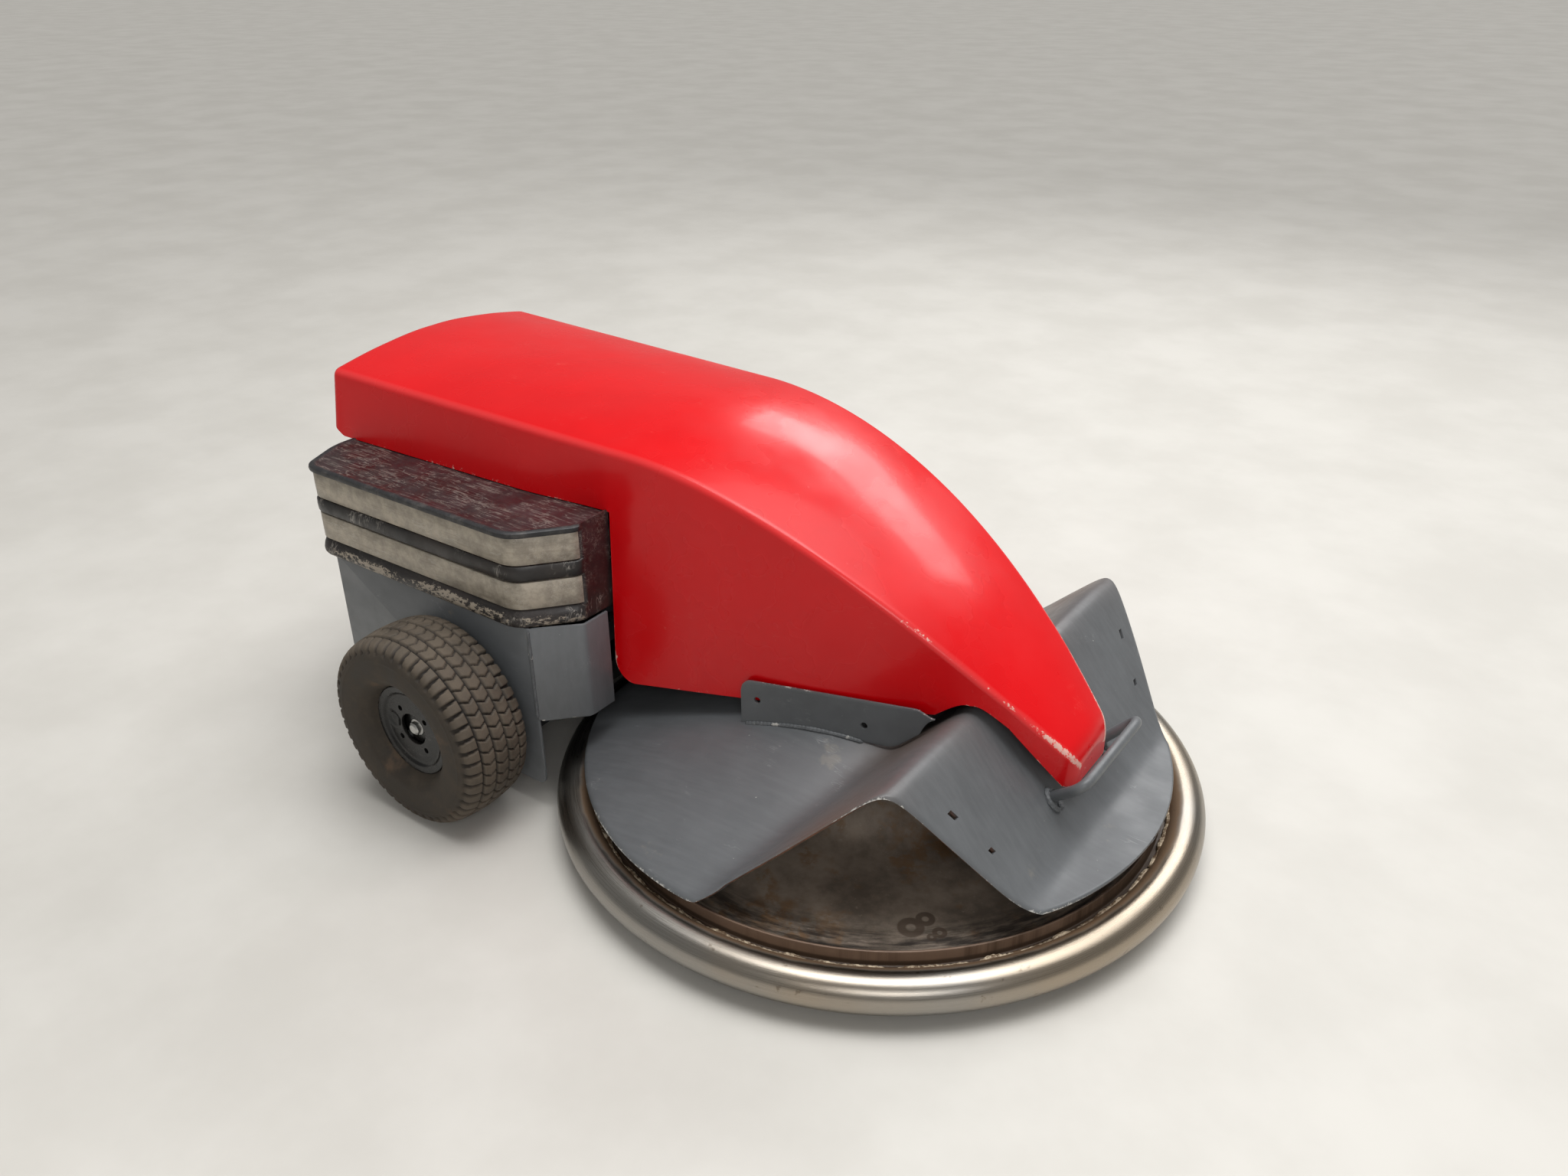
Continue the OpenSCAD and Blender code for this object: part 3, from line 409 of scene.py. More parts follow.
def build(name, parts, material, body, slot, replaces=(), wall=0.0, bevel=0.0, sharp=38, cut=None, even=True):
    """Puts surfaces into one object at the origin, in metres. A wall is laid inside the faces,
    holes are cut, and edges sharper than 30 degrees are bevelled."""
    points = np.concatenate([p["points"] for p in parts])
    starts = np.cumsum([0] + [len(p["points"]) for p in parts])
    faces = [[v + s for v in f] for p, s in zip(parts, starts.tolist()) for f in p["faces"]]
    mesh = bpy.data.meshes.new(name)
    metres = (points + [AXIS_X, 0, 0]) * MM
    mesh.from_pydata(metres.tolist(), [], faces)
    for label in sorted({m for p in parts for m in p["marks"]}):
        values = np.concatenate([p["marks"].get(label, np.zeros(len(p["points"]))) for p in parts])
        mesh.attributes.new(label, "FLOAT", "POINT").data.foreach_set("value", values.astype(np.float32))
    work = bmesh.new()
    work.from_mesh(mesh)
    bmesh.ops.remove_doubles(work, verts=work.verts, dist=2e-5)
    bmesh.ops.dissolve_degenerate(work, edges=work.edges, dist=1e-6)
    work.to_mesh(mesh)
    work.free()
    piece = bpy.data.objects.new(name, mesh)
    bpy.context.scene.collection.objects.link(piece)
    if wall:
        solid = piece.modifiers.new("Wall", "SOLIDIFY")
        solid.thickness, solid.offset = wall, -1
        solid.use_even_offset = even
    if cut is not None:
        tool = build(name + "_cutter", cut, material, None, slot)
        hole = piece.modifiers.new("Holes", "BOOLEAN")
        hole.operation, hole.object, hole.solver = "DIFFERENCE", tool, "EXACT"
    if bevel:
        round_off = piece.modifiers.new("Edges", "BEVEL")
        round_off.width, round_off.segments = bevel, 2
        round_off.limit_method, round_off.angle_limit = "ANGLE", math.radians(30)
        round_off.harden_normals = False
    if piece.modifiers:
        bpy.context.view_layer.update()
        made = bpy.data.meshes.new_from_object(piece.evaluated_get(bpy.context.evaluated_depsgraph_get()))
        piece.modifiers.clear()
        piece.data = made
        bpy.data.meshes.remove(mesh)
        made.name = name
    if cut is not None:
        bpy.data.objects.remove(tool)
    mesh = piece.data
    if not mesh.polygons:
        raise RuntimeError(f"{name} has no faces")
    mesh.shade_smooth()
    mesh.set_sharp_from_angle(angle=math.radians(sharp))
    mesh.materials.clear()
    mesh.materials.append(material)
    if body:
        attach(piece, body)
        if replaces:
            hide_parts(*replaces)
    return piece


# ---------------------------------------------------------------- shader parts
def node(tree, kind, inputs=None, **facts):
    made = tree.nodes.new("ShaderNode" + kind)
    for key, value in facts.items():
        setattr(made, key, value)
    for key, value in (inputs or {}).items():
        if isinstance(value, bpy.types.NodeSocket):
            tree.links.new(value, made.inputs[key])
        else:
            made.inputs[key].default_value = value
    return made


def calc(tree, operation, a, b=0.0, clamp=False):
    return node(tree, "Math", {0: a, 1: b}, operation=operation, use_clamp=clamp).outputs[0]


def times(tree, a, b):
    return calc(tree, "MULTIPLY", a, b)


def plus(tree, a, b, clamp=False):
    return calc(tree, "ADD", a, b, clamp)


def minus(tree, a, b):
    return calc(tree, "SUBTRACT", a, b)


def length(tree, x, y):
    return calc(tree, "SQRT", plus(tree, times(tree, x, x), times(tree, y, y)))


def shade(colour, by):
    """The same colour, lighter or darker."""
    return tuple(c * by for c in colour)


def blend(tree, factor, a, b):
    a, b = (tuple(c) + (1,) if not isinstance(c, bpy.types.NodeSocket) and len(c) == 3 else c for c in (a, b))
    return node(tree, "Mix", {0: factor, 6: a, 7: b}, data_type="RGBA").outputs[2]


def tint(tree, colour, mask, amount, to):
    """A colour carried part of the way to another where a mask is set."""
    return blend(tree, times(tree, mask, amount), colour, to)


def step(tree, value, low, high, start=0.0, end=1.0):
    return node(tree, "MapRange", {0: value, 1: low, 2: high, 3: start, 4: end},
                interpolation_type="SMOOTHSTEP").outputs[0]


def noise(tree, vector, scale, detail=4.0, rough=0.6):
    return node(tree, "TexNoise", {"Vector": vector, "Scale": scale, "Detail": detail,
                                   "Roughness": rough}).outputs[0]


def object_place(tree, turn=(0, 0, 0), scale=(1, 1, 1), centre=False):
    """Object coordinates; centred ones start from the disc's axis."""
    at = node(tree, "TexCoord").outputs["Object"]
    shift = (-AXIS_X * MM, 0, 0) if centre else (0, 0, 0)
    moved = node(tree, "Mapping", {"Vector": at, "Location": shift}).outputs[0]
    return node(tree, "Mapping", {"Vector": moved, "Rotation": turn, "Scale": scale}).outputs[0]


def mark(tree, name):
    return node(tree, "Attribute", attribute_name=name).outputs["Fac"]


def group(name, inputs, outputs, fill):
    """A shader node group, made once. inputs are (name, kind, default)."""
    tree = bpy.data.node_groups.get(name)
    if tree is None:
        tree = bpy.data.node_groups.new(name, "ShaderNodeTree")
        for label, kind, default in inputs:
            socket = tree.interface.new_socket(label, in_out="INPUT", socket_type="NodeSocket" + kind)
            if default is not None:
                socket.default_value = default
        for label, kind in outputs:
            tree.interface.new_socket(label, in_out="OUTPUT", socket_type="NodeSocket" + kind)
        start, end = tree.nodes.new("NodeGroupInput"), tree.nodes.new("NodeGroupOutput")
        for label, socket in fill(tree, start.outputs).items():
            tree.links.new(socket, end.inputs[label])
    return tree


def use(tree, made, **inputs):
    placed = tree.nodes.new("ShaderNodeGroup")
    placed.node_tree = made
    for key, value in inputs.items():
        key = key.replace("_", " ")
        if isinstance(value, bpy.types.NodeSocket):
            tree.links.new(value, placed.inputs[key])
        else:
            placed.inputs[key].default_value = value
    return placed.outputs


def patches():
    """Mask of uneven patches: noise between two levels."""
    def fill(tree, i):
        value = noise(tree, i["Vector"], i["Scale"], 5.0, 0.62)
        return {"Mask": step(tree, value, i["Low"], i["High"])}
    return group("Uneven patches", [("Vector", "Vector", None), ("Scale", "Float", 8.0),
                                    ("Low", "Float", 0.5),
                                    ("High", "Float", 0.6)], [("Mask", "Float")], fill)


def patch(tree, at, scale, low, high):
    return use(tree, patches(), Vector=at, Scale=scale, Low=low, High=high)["Mask"]


def chips():
    """Mask of chipped paint: an edge mark plus broken noise, cut at one level."""
    def fill(tree, i):
        broken = noise(tree, i["Vector"], i["Scale"], 8.0, 0.75)
        drift = noise(tree, i["Vector"], 9.0, 2.0, 0.5)
        value = times(tree, i["Mark"], i["Amount"])
        value = plus(tree, value, times(tree, minus(tree, broken, 0.5), 1.5))
        value = plus(tree, value, times(tree, minus(tree, drift, 0.5), 0.9))
        return {"Mask": step(tree, value, 0.52, 0.6)}
    return group("Chipped edges", [("Vector", "Vector", None), ("Mark", "Float", 0.0),
                                   ("Amount", "Float", 0.6),
                                   ("Scale", "Float", 120.0)], [("Mask", "Float")], fill)


def scratches():
    """Mask of fine scratches: thin level lines of a noise drawn out along one direction, kept
    only inside larger patches."""
    def fill(tree, i):
        lines = []
        for turn, squeeze in ((0.35, 0.07), (-0.5, 0.1), (1.35, 0.16)):
            way = node(tree, "Mapping", {"Vector": i["Vector"], "Rotation": (0.2, 0.1, turn),
                                         "Scale": (squeeze, 1, 1)})
            value = noise(tree, way.outputs[0], i["Scale"], 3.0, 0.5)
            lines.append(step(tree, calc(tree, "ABSOLUTE", minus(tree, value, 0.5)), 0.0, i["Width"], 1.0,
                              0.0))
        most = calc(tree, "MAXIMUM", calc(tree, "MAXIMUM", lines[0], lines[1]), lines[2])
        where = step(tree, noise(tree, i["Vector"], 14.0, 4.0, 0.7), i["Low"], plus(tree, i["Low"], 0.12))
        return {"Mask": times(tree, most, where)}
    return group("Fine scratches", [("Vector", "Vector", None), ("Scale", "Float", 90.0),
                                    ("Width", "Float", 0.02),
                                    ("Low", "Float", 0.45)], [("Mask", "Float")], fill)


def scratch(tree, at, scale, width, low):
    return use(tree, scratches(), Vector=at, Scale=scale, Width=width, Low=low)["Mask"]


def settled_dust():
    """Colour with dust on faces that look up, broken by noise."""
    def fill(tree, i):
        up = node(tree, "SeparateXYZ", {0: node(tree, "NewGeometry").outputs["Normal"]}).outputs[2]
        lying = step(tree, up, 0.2, 1.0)
        value = noise(tree, i["Vector"], 26.0, 6.0, 0.7)
        amount = times(tree, times(tree, lying, step(tree, value, 0.3, 0.75)), i["Amount"])
        return {"Color": blend(tree, amount, i["Color"], i["Dust"])}
    return group("Settled dust", [("Vector", "Vector", None), ("Color", "Color", (0.1, 0.1, 0.1, 1)),
                                  ("Dust", "Color", (0.3, 0.26, 0.2, 1)), ("Amount", "Float", 0.4)],
                 [("Color", "Color")], fill)


def uneven_face():
    """Height for a bump: a slow swell under a fine grain."""
    def fill(tree, i):
        swell = noise(tree, i["Vector"], i["Swell"], 2.0, 0.5)
        grain = noise(tree, i["Vector"], i["Grain"], 5.0, 0.65)
        return {"Height": plus(tree, times(tree, swell, i["Swell height"]),
                               times(tree, grain, i["Grain height"]))}
    return group("Uneven face", [("Vector", "Vector", None), ("Swell", "Float", 12.0),
                                 ("Swell height", "Float", 0.6),
                                 ("Grain", "Float", 240.0), ("Grain height", "Float", 0.1)],
                 [("Height", "Float")], fill)


def finish(name, fill):
    """A material whose Principled shader takes the sockets and constants that fill returns."""
    made = bpy.data.materials.get(name)
    if made is None:
        made = bpy.data.materials.new(name)
        made.use_nodes = True
        tree = made.node_tree
        shader = next(n for n in tree.nodes if n.type == "BSDF_PRINCIPLED")
        facts = fill(tree)
        bump_height = facts.pop("Height", None)
        strength = facts.pop("Strength", 0.3)
        distance = facts.pop("Distance", 0.001)
        for key, value in facts.items():
            if isinstance(value, bpy.types.NodeSocket):
                tree.links.new(value, shader.inputs[key])
            else:
                shader.inputs[key].default_value = value
        if bump_height is not None:
            bump = node(tree, "Bump", {"Strength": strength, "Distance": distance, "Height": bump_height})
            tree.links.new(bump.outputs[0], shader.inputs["Normal"])
    return made


# ---------------------------------------------------------------- materials
def gloss_red():
    paint = tuple(setting("sweeper_hood").paint)

    def fill(tree):
        at = object_place(tree)
        worn = use(tree, chips(), Vector=at, Mark=mark(tree, "wear"), Amount=0.62, Scale=150.0)["Mask"]
        cloud = patch(tree, at, 5.0, 0.3, 0.75)
        fine = scratch(tree, at, 60.0, 0.006, 0.6)
        colour = tint(tree, paint, cloud, 0.35, shade(paint, 0.72))
        # Painted highlight: the fold mark lightens the paint to a pinkish red along the crease.
        line = times(tree, mark(tree, "fold"), 0.28)
        colour = blend(tree, line, colour, (0.95, 0.12, 0.12))
        colour = tint(tree, colour, fine, 0.2, (0.9, 0.25, 0.2))
        colour = blend(tree, worn, colour, (0.74, 0.42, 0.36))
        rough = step(tree, noise(tree, at, 9.0, 3.0), 0.2, 0.8, 0.2, 0.36)
        rough = plus(tree, rough, times(tree, worn, 0.3), True)
        height = use(tree, uneven_face(), Vector=at, Swell=14.0, Swell_height=1.0, Grain=420.0,
                     Grain_height=0.02)["Height"]
        return {"Base Color": colour, "Roughness": rough, "Height": height, "Strength": 0.35,
                "Distance": 0.0016,
                "Coat Weight": 0.1, "Coat Roughness": 0.08, "Specular IOR Level": 0.3}
    return finish("Gloss red paint", fill)


def grey_paint(name="Grey satin paint", light=1.0, brown=0.0):
    # light scales the whole colour: the chassis copy at 1.25 is painted light, a lighter copy of the guard's
    # grey.
    paint = shade(setting("sweeper_guard").paint, light)

    def fill(tree):
        at = object_place(tree)
        cloud = patch(tree, at, 6.0, 0.25, 0.8)
        rubbed = patch(tree, at, 15.0, 0.66, 0.74)
        thin = scratch(tree, at, 70.0, 0.009, 0.58)
        worn = use(tree, chips(), Vector=at, Mark=mark(tree, "wear"), Amount=0.52, Scale=170.0)["Mask"]
        spots = patch(tree, at, 130.0, 0.735, 0.75)
        colour = blend(tree, cloud, shade(paint, 0.82), shade(paint, 1.1))
        brush = noise(tree, object_place(tree, (0, 0, 0.3), (1, 9, 2)), 16.0, 4.0, 0.6)
        colour = blend(tree, step(tree, brush, 0.35, 0.7, 0.0, 0.35), colour, shade(paint, 1.25))
        colour = tint(tree, colour, mark(tree, "brown"), 0.75, (0.14, 0.095, 0.075))
        colour = tint(tree, colour, rubbed, 0.3 + brown, (0.27, 0.24, 0.19))
        colour = tint(tree, colour, thin, 0.4, (0.34, 0.35, 0.35))
        colour = blend(tree, calc(tree, "MAXIMUM", worn, times(tree, spots, 0.7)), colour, (0.5, 0.49, 0.46))
        # Painted shade under the sheet: where the underside mark is set (normals looking down), the paint
        # turns near-black, with rust-brown patches mixed in.
        rust_and_under_shade = patch(tree, at, 40.0, 0.3, 0.6)
        under = blend(tree, rust_and_under_shade, (0.05, 0.035, 0.028), (0.16, 0.07, 0.04))
        colour = blend(tree, mark(tree, "rust_and_under_shade"), colour, under)
        rough = step(tree, noise(tree, at, 18.0, 4.0), 0.25, 0.75, 0.34, 0.52)
        rough = plus(tree, rough, times(tree, mark(tree, "rust_and_under_shade"), 0.4), True)
        height = use(tree, uneven_face(), Vector=at, Swell=16.0, Swell_height=0.9, Grain=260.0,
                     Grain_height=0.12)["Height"]
        return {"Base Color": colour, "Roughness": rough, "Height": height, "Strength": 0.4,
                "Distance": 0.0016}
    return finish(name, fill)


def ring_steel():
    steel = tuple(setting("sweeper_disc").ring)

    def fill(tree):
        at = object_place(tree, centre=True)
        parts = node(tree, "SeparateXYZ", {0: at}).outputs
        angle = calc(tree, "ARCTAN2", parts[1], parts[0])
        lay = node(tree, "CombineXYZ", {0: times(tree, mark(tree, "round"), 60.0),
                                        1: times(tree, angle, 1.3)})
        lines = noise(tree, lay.outputs[0], 2.2, 7.0, 0.75)
        cloud = noise(tree, at, 9.0, 5.0, 0.65)
        inner = step(tree, plus(tree, mark(tree, "inner"), times(tree, minus(tree, cloud, 0.5), 0.9)), 0.35,
                     0.85)
        colour = blend(tree, step(tree, lines, 0.3, 0.7), shade(steel, 0.62), steel)
        warm = step(tree, noise(tree, at, 3.0, 3.0, 0.5), 0.42, 0.66, 0.0, 0.6)
        colour = blend(tree, warm, colour, (0.42, 0.33, 0.23))
        colour = tint(tree, colour, inner, 0.85, (0.17, 0.095, 0.045))
        spots = patch(tree, at, 70.0, 0.66, 0.7)
        colour = tint(tree, colour, spots, 0.5, (0.12, 0.08, 0.05))
        rough = step(tree, lines, 0.25, 0.75, 0.2, 0.42)
        rough = plus(tree, rough, times(tree, inner, 0.25), True)
        metal = minus(tree, 1.0, times(tree, inner, 0.55))
        return {"Base Color": colour, "Roughness": rough, "Metallic": metal, "Height": lines,
                "Strength": 0.12,
                "Distance": 0.0006, "Anisotropic": 0.4}
    return finish("Bare ring steel", fill)


def weld_metal():
    def fill(tree):
        at = object_place(tree)
        value = noise(tree, at, 130.0, 5.0, 0.7)
        colour = blend(tree, step(tree, value, 0.4, 0.62), (0.12, 0.07, 0.035), (0.62, 0.52, 0.38))
        return {"Base Color": colour, "Roughness": step(tree, value, 0.3, 0.7, 0.55, 0.85), "Metallic": 0.25,
                "Height": value, "Strength": 0.6, "Distance": 0.001}
    return finish("Rusty weld", fill)


def rubbed_plate():
    steel = tuple(setting("sweeper_disc").plate)

    def fill(tree):
        at = object_place(tree, centre=True)
        parts = node(tree, "SeparateXYZ", {0: at}).outputs
        radius = length(tree, parts[0], parts[1])
        angle = calc(tree, "ARCTAN2", parts[1], parts[0])
        drawn = node(tree, "CombineXYZ", {0: times(tree, radius, 50.0), 1: times(tree, angle, 2.4)})
        turned = noise(tree, drawn.outputs[0], 1.5, 7.0, 0.72)
        cloud = noise(tree, at, 12.0, 8.0, 0.68)
        colour = blend(tree, step(tree, cloud, 0.35, 0.68), shade(steel, 0.62), shade(steel, 1.35))
        orange = patch(tree, at, 8.0, 0.55, 0.66)
        fine = patch(tree, at, 60.0, 0.42, 0.56)
        colour = blend(tree, times(tree, orange, times(tree, fine, 0.75)), colour, (0.24, 0.13, 0.055))
        speck = patch(tree, at, 180.0, 0.63, 0.7)
        colour = tint(tree, colour, speck, 0.45, (0.4, 0.34, 0.27))
        band = times(tree, step(tree, radius, 0.315, 0.37), step(tree, turned, 0.36, 0.6))
        colour = tint(tree, colour, band, 0.93, (0.022, 0.018, 0.016))
        edge = step(tree, radius, 0.3865, 0.3885)
        shine = step(tree, turned, 0.4, 0.6)
        colour = blend(tree, edge, colour, blend(tree, shine, (0.06, 0.035, 0.02), (0.2, 0.13, 0.09)))
        # Painted shade: below about 56 mm, in the gutter round the lip beside the ring and under the plate,
        # the steel is darkened.
        gutter_shade = step(tree, parts[2], 0.054, 0.058, 1.0, 0.0)
        colour = tint(tree, colour, gutter_shade, 0.85, (0.05, 0.03, 0.018))
        rings = None
        for px, py, outer in STAIN_RINGS:
            dx, dy = minus(tree, parts[0], px * MM), minus(tree, parts[1], py * MM)
            far = length(tree, dx, dy)
            off = calc(tree, "ABSOLUTE", minus(tree, far, outer * MM))
            one = step(tree, off, outer * MM * 0.35, outer * MM * 0.6, 1.0, 0.0)
            rings = one if rings is None else calc(tree, "MAXIMUM", rings, one)
        colour = tint(tree, colour, rings, 0.75, (0.07, 0.045, 0.03))
        rough = plus(tree, step(tree, cloud, 0.3, 0.7, 0.42, 0.68), times(tree, band, -0.1))
        height = plus(tree, times(tree, turned, 0.5), times(tree, noise(tree, at, 150.0, 6.0, 0.7), 0.6))
        return {"Base Color": colour, "Roughness": rough, "Metallic": 0.12, "Height": height,
                "Strength": 0.35,
                "Distance": 0.001}
    return finish("Rubbed rusty steel", fill)


def tyre_rubber():
    rubber = tuple(setting("sweeper_wheels").rubber)

    def fill(tree):
        at = object_place(tree)
        cloud = noise(tree, at, 22.0, 7.0, 0.68)
        tread = mark(tree, "tread")
        low = mark(tree, "groove")
        wall = blend(tree, step(tree, cloud, 0.35, 0.7), shade(rubber, 0.42), shade(rubber, 0.78))
        dust = patch(tree, at, 14.0, 0.56, 0.7)
        wall = tint(tree, wall, dust, 0.4, (0.17, 0.105, 0.062))
        tops = blend(tree, step(tree, cloud, 0.3, 0.7), shade(rubber, 0.8), shade(rubber, 1.35))
        colour = blend(tree, tread, wall, tops)
        # Painted shade: the groove mark darkens the grooves, and the hidden liner fully, to near-black.
        colour = blend(tree, low, colour, (0.012, 0.01, 0.009))
        height = noise(tree, at, 320.0, 5.0, 0.7)
        return {"Base Color": colour, "Roughness": step(tree, cloud, 0.3, 0.7, 0.62, 0.86), "Height": height,
                "Strength": 0.25, "Distance": 0.0008, "Specular IOR Level": 0.35}
    return finish("Dusty tyre rubber", fill)


def black_rim():
    def fill(tree):
        at = object_place(tree)
        cloud = noise(tree, at, 30.0, 6.0, 0.7)
        fine = scratch(tree, at, 130.0, 0.01, 0.5)
        colour = blend(tree, step(tree, cloud, 0.4, 0.75), (0.006, 0.006, 0.006), (0.02, 0.018, 0.016))
        colour = tint(tree, colour, fine, 0.3, (0.12, 0.11, 0.1))
        return {"Base Color": colour, "Roughness": step(tree, cloud, 0.3, 0.7, 0.18, 0.34),
                "Height": use(tree, uneven_face(), Vector=at)["Height"], "Strength": 0.12, "Distance": 0.0008,
                "Specular IOR Level": 0.35}
    return finish("Black rim paint", fill)


def box_finish():
    paint = tuple(setting("sweeper_boxes").paint)

    def fill(tree):
        at = object_place(tree)
        lip, band = mark(tree, "lip"), mark(tree, "band")
        cloud = patch(tree, at, 9.0, 0.35, 0.7)
        base = blend(tree, cloud, shade(paint, 0.5), shade(paint, 1.3))
        scuffs = scratch(tree, at, 95.0, 0.016, 0.42)
        haze = noise(tree, object_place(tree, (0, 0, -0.35), (1, 5, 5)), 26.0, 8.0, 0.78)
        haze = step(tree, haze, 0.5, 0.78, 0.0, 0.5)
        top = blend(tree, haze, base, (0.15, 0.12, 0.1))
        top = tint(tree, top, scuffs, 0.4, (0.34, 0.3, 0.26))
        black = blend(tree, cloud, (0.011, 0.01, 0.01), (0.03, 0.024, 0.021))
        scribble = use(tree, scratches(), Vector=object_place(tree, (0.3, 1.2, 0.2)), Scale=75.0,
                       Width=0.02, Low=0.53)["Mask"]
        black = tint(tree, black, scribble, 0.6, (0.4, 0.37, 0.33))
        low = mark(tree, "low")
        worn = use(tree, chips(), Vector=object_place(tree, (0, 0, 0), (1, 1, 2)), Mark=low, Amount=0.5,
                   Scale=110.0)["Mask"]
        colour = blend(tree, band, top, black)
        colour = blend(tree, worn, colour, (0.34, 0.29, 0.23))
        rubber = blend(tree, step(tree, noise(tree, at, 60.0, 6.0, 0.7), 0.45, 0.75), (0.014, 0.014, 0.016),
                       (0.06, 0.055, 0.052))
        colour = blend(tree, lip, colour, rubber)
        along = node(tree, "SeparateXYZ", {0: object_place(tree, centre=True)}).outputs[0]
        joint = step(tree, calc(tree, "ABSOLUTE", minus(tree, along, JOINT_X * MM)), 0.0004, 0.0012, 1.0, 0.0)
        colour = tint(tree, colour, joint, 0.8, (0.01, 0.008, 0.008))
        rough = step(tree, noise(tree, at, 35.0, 6.0), 0.3, 0.7, 0.34, 0.6)
        height = minus(tree, times(tree, noise(tree, at, 170.0, 6.0, 0.7), 0.5), joint)
        return {"Base Color": colour, "Roughness": rough, "Height": height, "Strength": 0.35,
                "Distance": 0.001}
    return finish("Scraped side box", fill)


def worn_strip():
    steel = tuple(setting("sweeper_boxes").strips)

    def fill(tree):
        at = object_place(tree)
        cloud = noise(tree, at, 42.0, 8.0, 0.72)
        long = noise(tree, object_place(tree, (0, 0, 0), (1, 1, 14)), 12.0, 6.0, 0.7)
        colour = blend(tree, step(tree, cloud, 0.32, 0.7), shade(steel, 0.62), shade(steel, 1.15))
        colour = blend(tree, step(tree, long, 0.5, 0.75, 0.0, 0.5), colour, (0.2, 0.165, 0.13))
        fine = scratch(tree, at, 85.0, 0.012, 0.45)
        colour = tint(tree, colour, fine, 0.3, (0.62, 0.58, 0.52))
        return {"Base Color": colour, "Roughness": step(tree, cloud, 0.3, 0.7, 0.36, 0.58), "Metallic": 0.45,
                "Height": cloud, "Strength": 0.15, "Distance": 0.0008}
    return finish("Dirty stainless strip", fill)


def plain_finish(name, colour, second, rough, metal=0.0, dust=0.35, grain=160.0):
    """A worked finish for inner parts: two tones, fine scratches and settled dust."""
    def fill(tree):
        at = object_place(tree)
        cloud = noise(tree, at, 20.0, 6.0, 0.66)
        base = blend(tree, step(tree, cloud, 0.35, 0.7), colour, second)
        fine = scratch(tree, at, 100.0, 0.01, 0.5)
        base = tint(tree, base, fine, 0.25, tuple(min(1, c * 2.2 + 0.05) for c in colour))
        base = use(tree, settled_dust(), Vector=at, Color=base, Amount=dust)["Color"]
        return {"Base Color": base, "Roughness": step(tree, cloud, 0.3, 0.7, rough * 0.8,
                                                      min(1.0, rough * 1.2)), "Metallic": metal,
                "Height": noise(tree, at, grain, 5.0, 0.65), "Strength": 0.2, "Distance": 0.0008}
    return finish(name, fill)


def inner_finishes():
    return {
        "frame": plain_finish("Dark frame paint", (0.045, 0.046, 0.05), (0.075, 0.075, 0.078), 0.5),
        "battery": plain_finish("Battery case", (0.012, 0.012, 0.013), (0.026, 0.025, 0.026), 0.45,
                                grain=320.0),
        "zinc": plain_finish("Zinc plated steel", (0.42, 0.42, 0.41), (0.56, 0.55, 0.52), 0.36, 0.9, 0.2),
        "case": plain_finish("Control case", (0.36, 0.37, 0.37), (0.44, 0.44, 0.43), 0.5, grain=300.0),
        "cast": plain_finish("Cast gearbox", (0.34, 0.34, 0.34), (0.46, 0.46, 0.45), 0.5, 0.8, grain=420.0),
        "motor": plain_finish("Motor paint", (0.02, 0.022, 0.026), (0.036, 0.038, 0.042), 0.4),
        "machined": plain_finish("Machined steel", (0.5, 0.5, 0.5), (0.62, 0.62, 0.6), 0.26, 1.0, 0.12),
        "gear": plain_finish("Oiled gear steel", (0.2, 0.19, 0.17), (0.34, 0.32, 0.29), 0.3, 0.9, 0.1),
        "caster": plain_finish("Caster rubber", (0.07, 0.07, 0.072), (0.13, 0.125, 0.12), 0.7, grain=380.0),
        "red": plain_finish("Red primer", (0.34, 0.012, 0.014), (0.5, 0.016, 0.018), 0.5),
    }


# ---------------------------------------------------------------- pieces
def hood_lines(x):
    """Along the hood: half width, height of the top edges, crown and lower edge."""
    nose = np.clip((x - STEP_X) / (NOSE_X - STEP_X), 0, 1)
    rear = np.clip((STEP_X - x) / (STEP_X - HOOD_LOW[0]), 0, 1)
    top = NOSE_TOP + (HOOD_EDGE_TOP - NOSE_TOP) * (1 - nose**1.92) + HOOD_REAR_RISE * rear
    widen = 1 - 0.3 * nose - 0.7 * nose**3
    half = NOSE_HALF + (SHOULDER_HALF - NOSE_HALF) * widen + HOOD_REAR_RISE * rear
    crown = HOOD_CROWN * (1 - 0.7 * nose)
    start = STEP_X + SKIRT_CURVE
    foot = SKIRT_Z + 34 * (1 - np.sqrt(np.clip(1 - ((start - x) / SKIRT_CURVE) ** 2, 0, 1)))
    line = SKIRT_Z + (ARCH_Z - SKIRT_Z) * (x - start) / (ARCH_X - start)
    gap = 12 + 17 * np.clip((x - RIDGE_X) / 45, 0, 1) + 6 * np.clip((RIDGE_X - x) / 40, 0, 1)
    nose_low = np.maximum(NOSE_TOP - 36, ridge_z(x) + gap)
    apron = np.where(x < start, foot, np.where(x < ARCH_X, line, nose_low))
    rear_low = BOX_HIGH[2] + 1.5 + 14 * np.clip((HOOD_LOW[0] + 22 - x) / 22, 0, 1)
    flare = HOOD_FLARE * (1 - nose) ** 3
    lean = 3.92 + 10 * smooth(0, 160, STEP_X - x)
    return half, top, crown, apron, rear_low, flare, lean


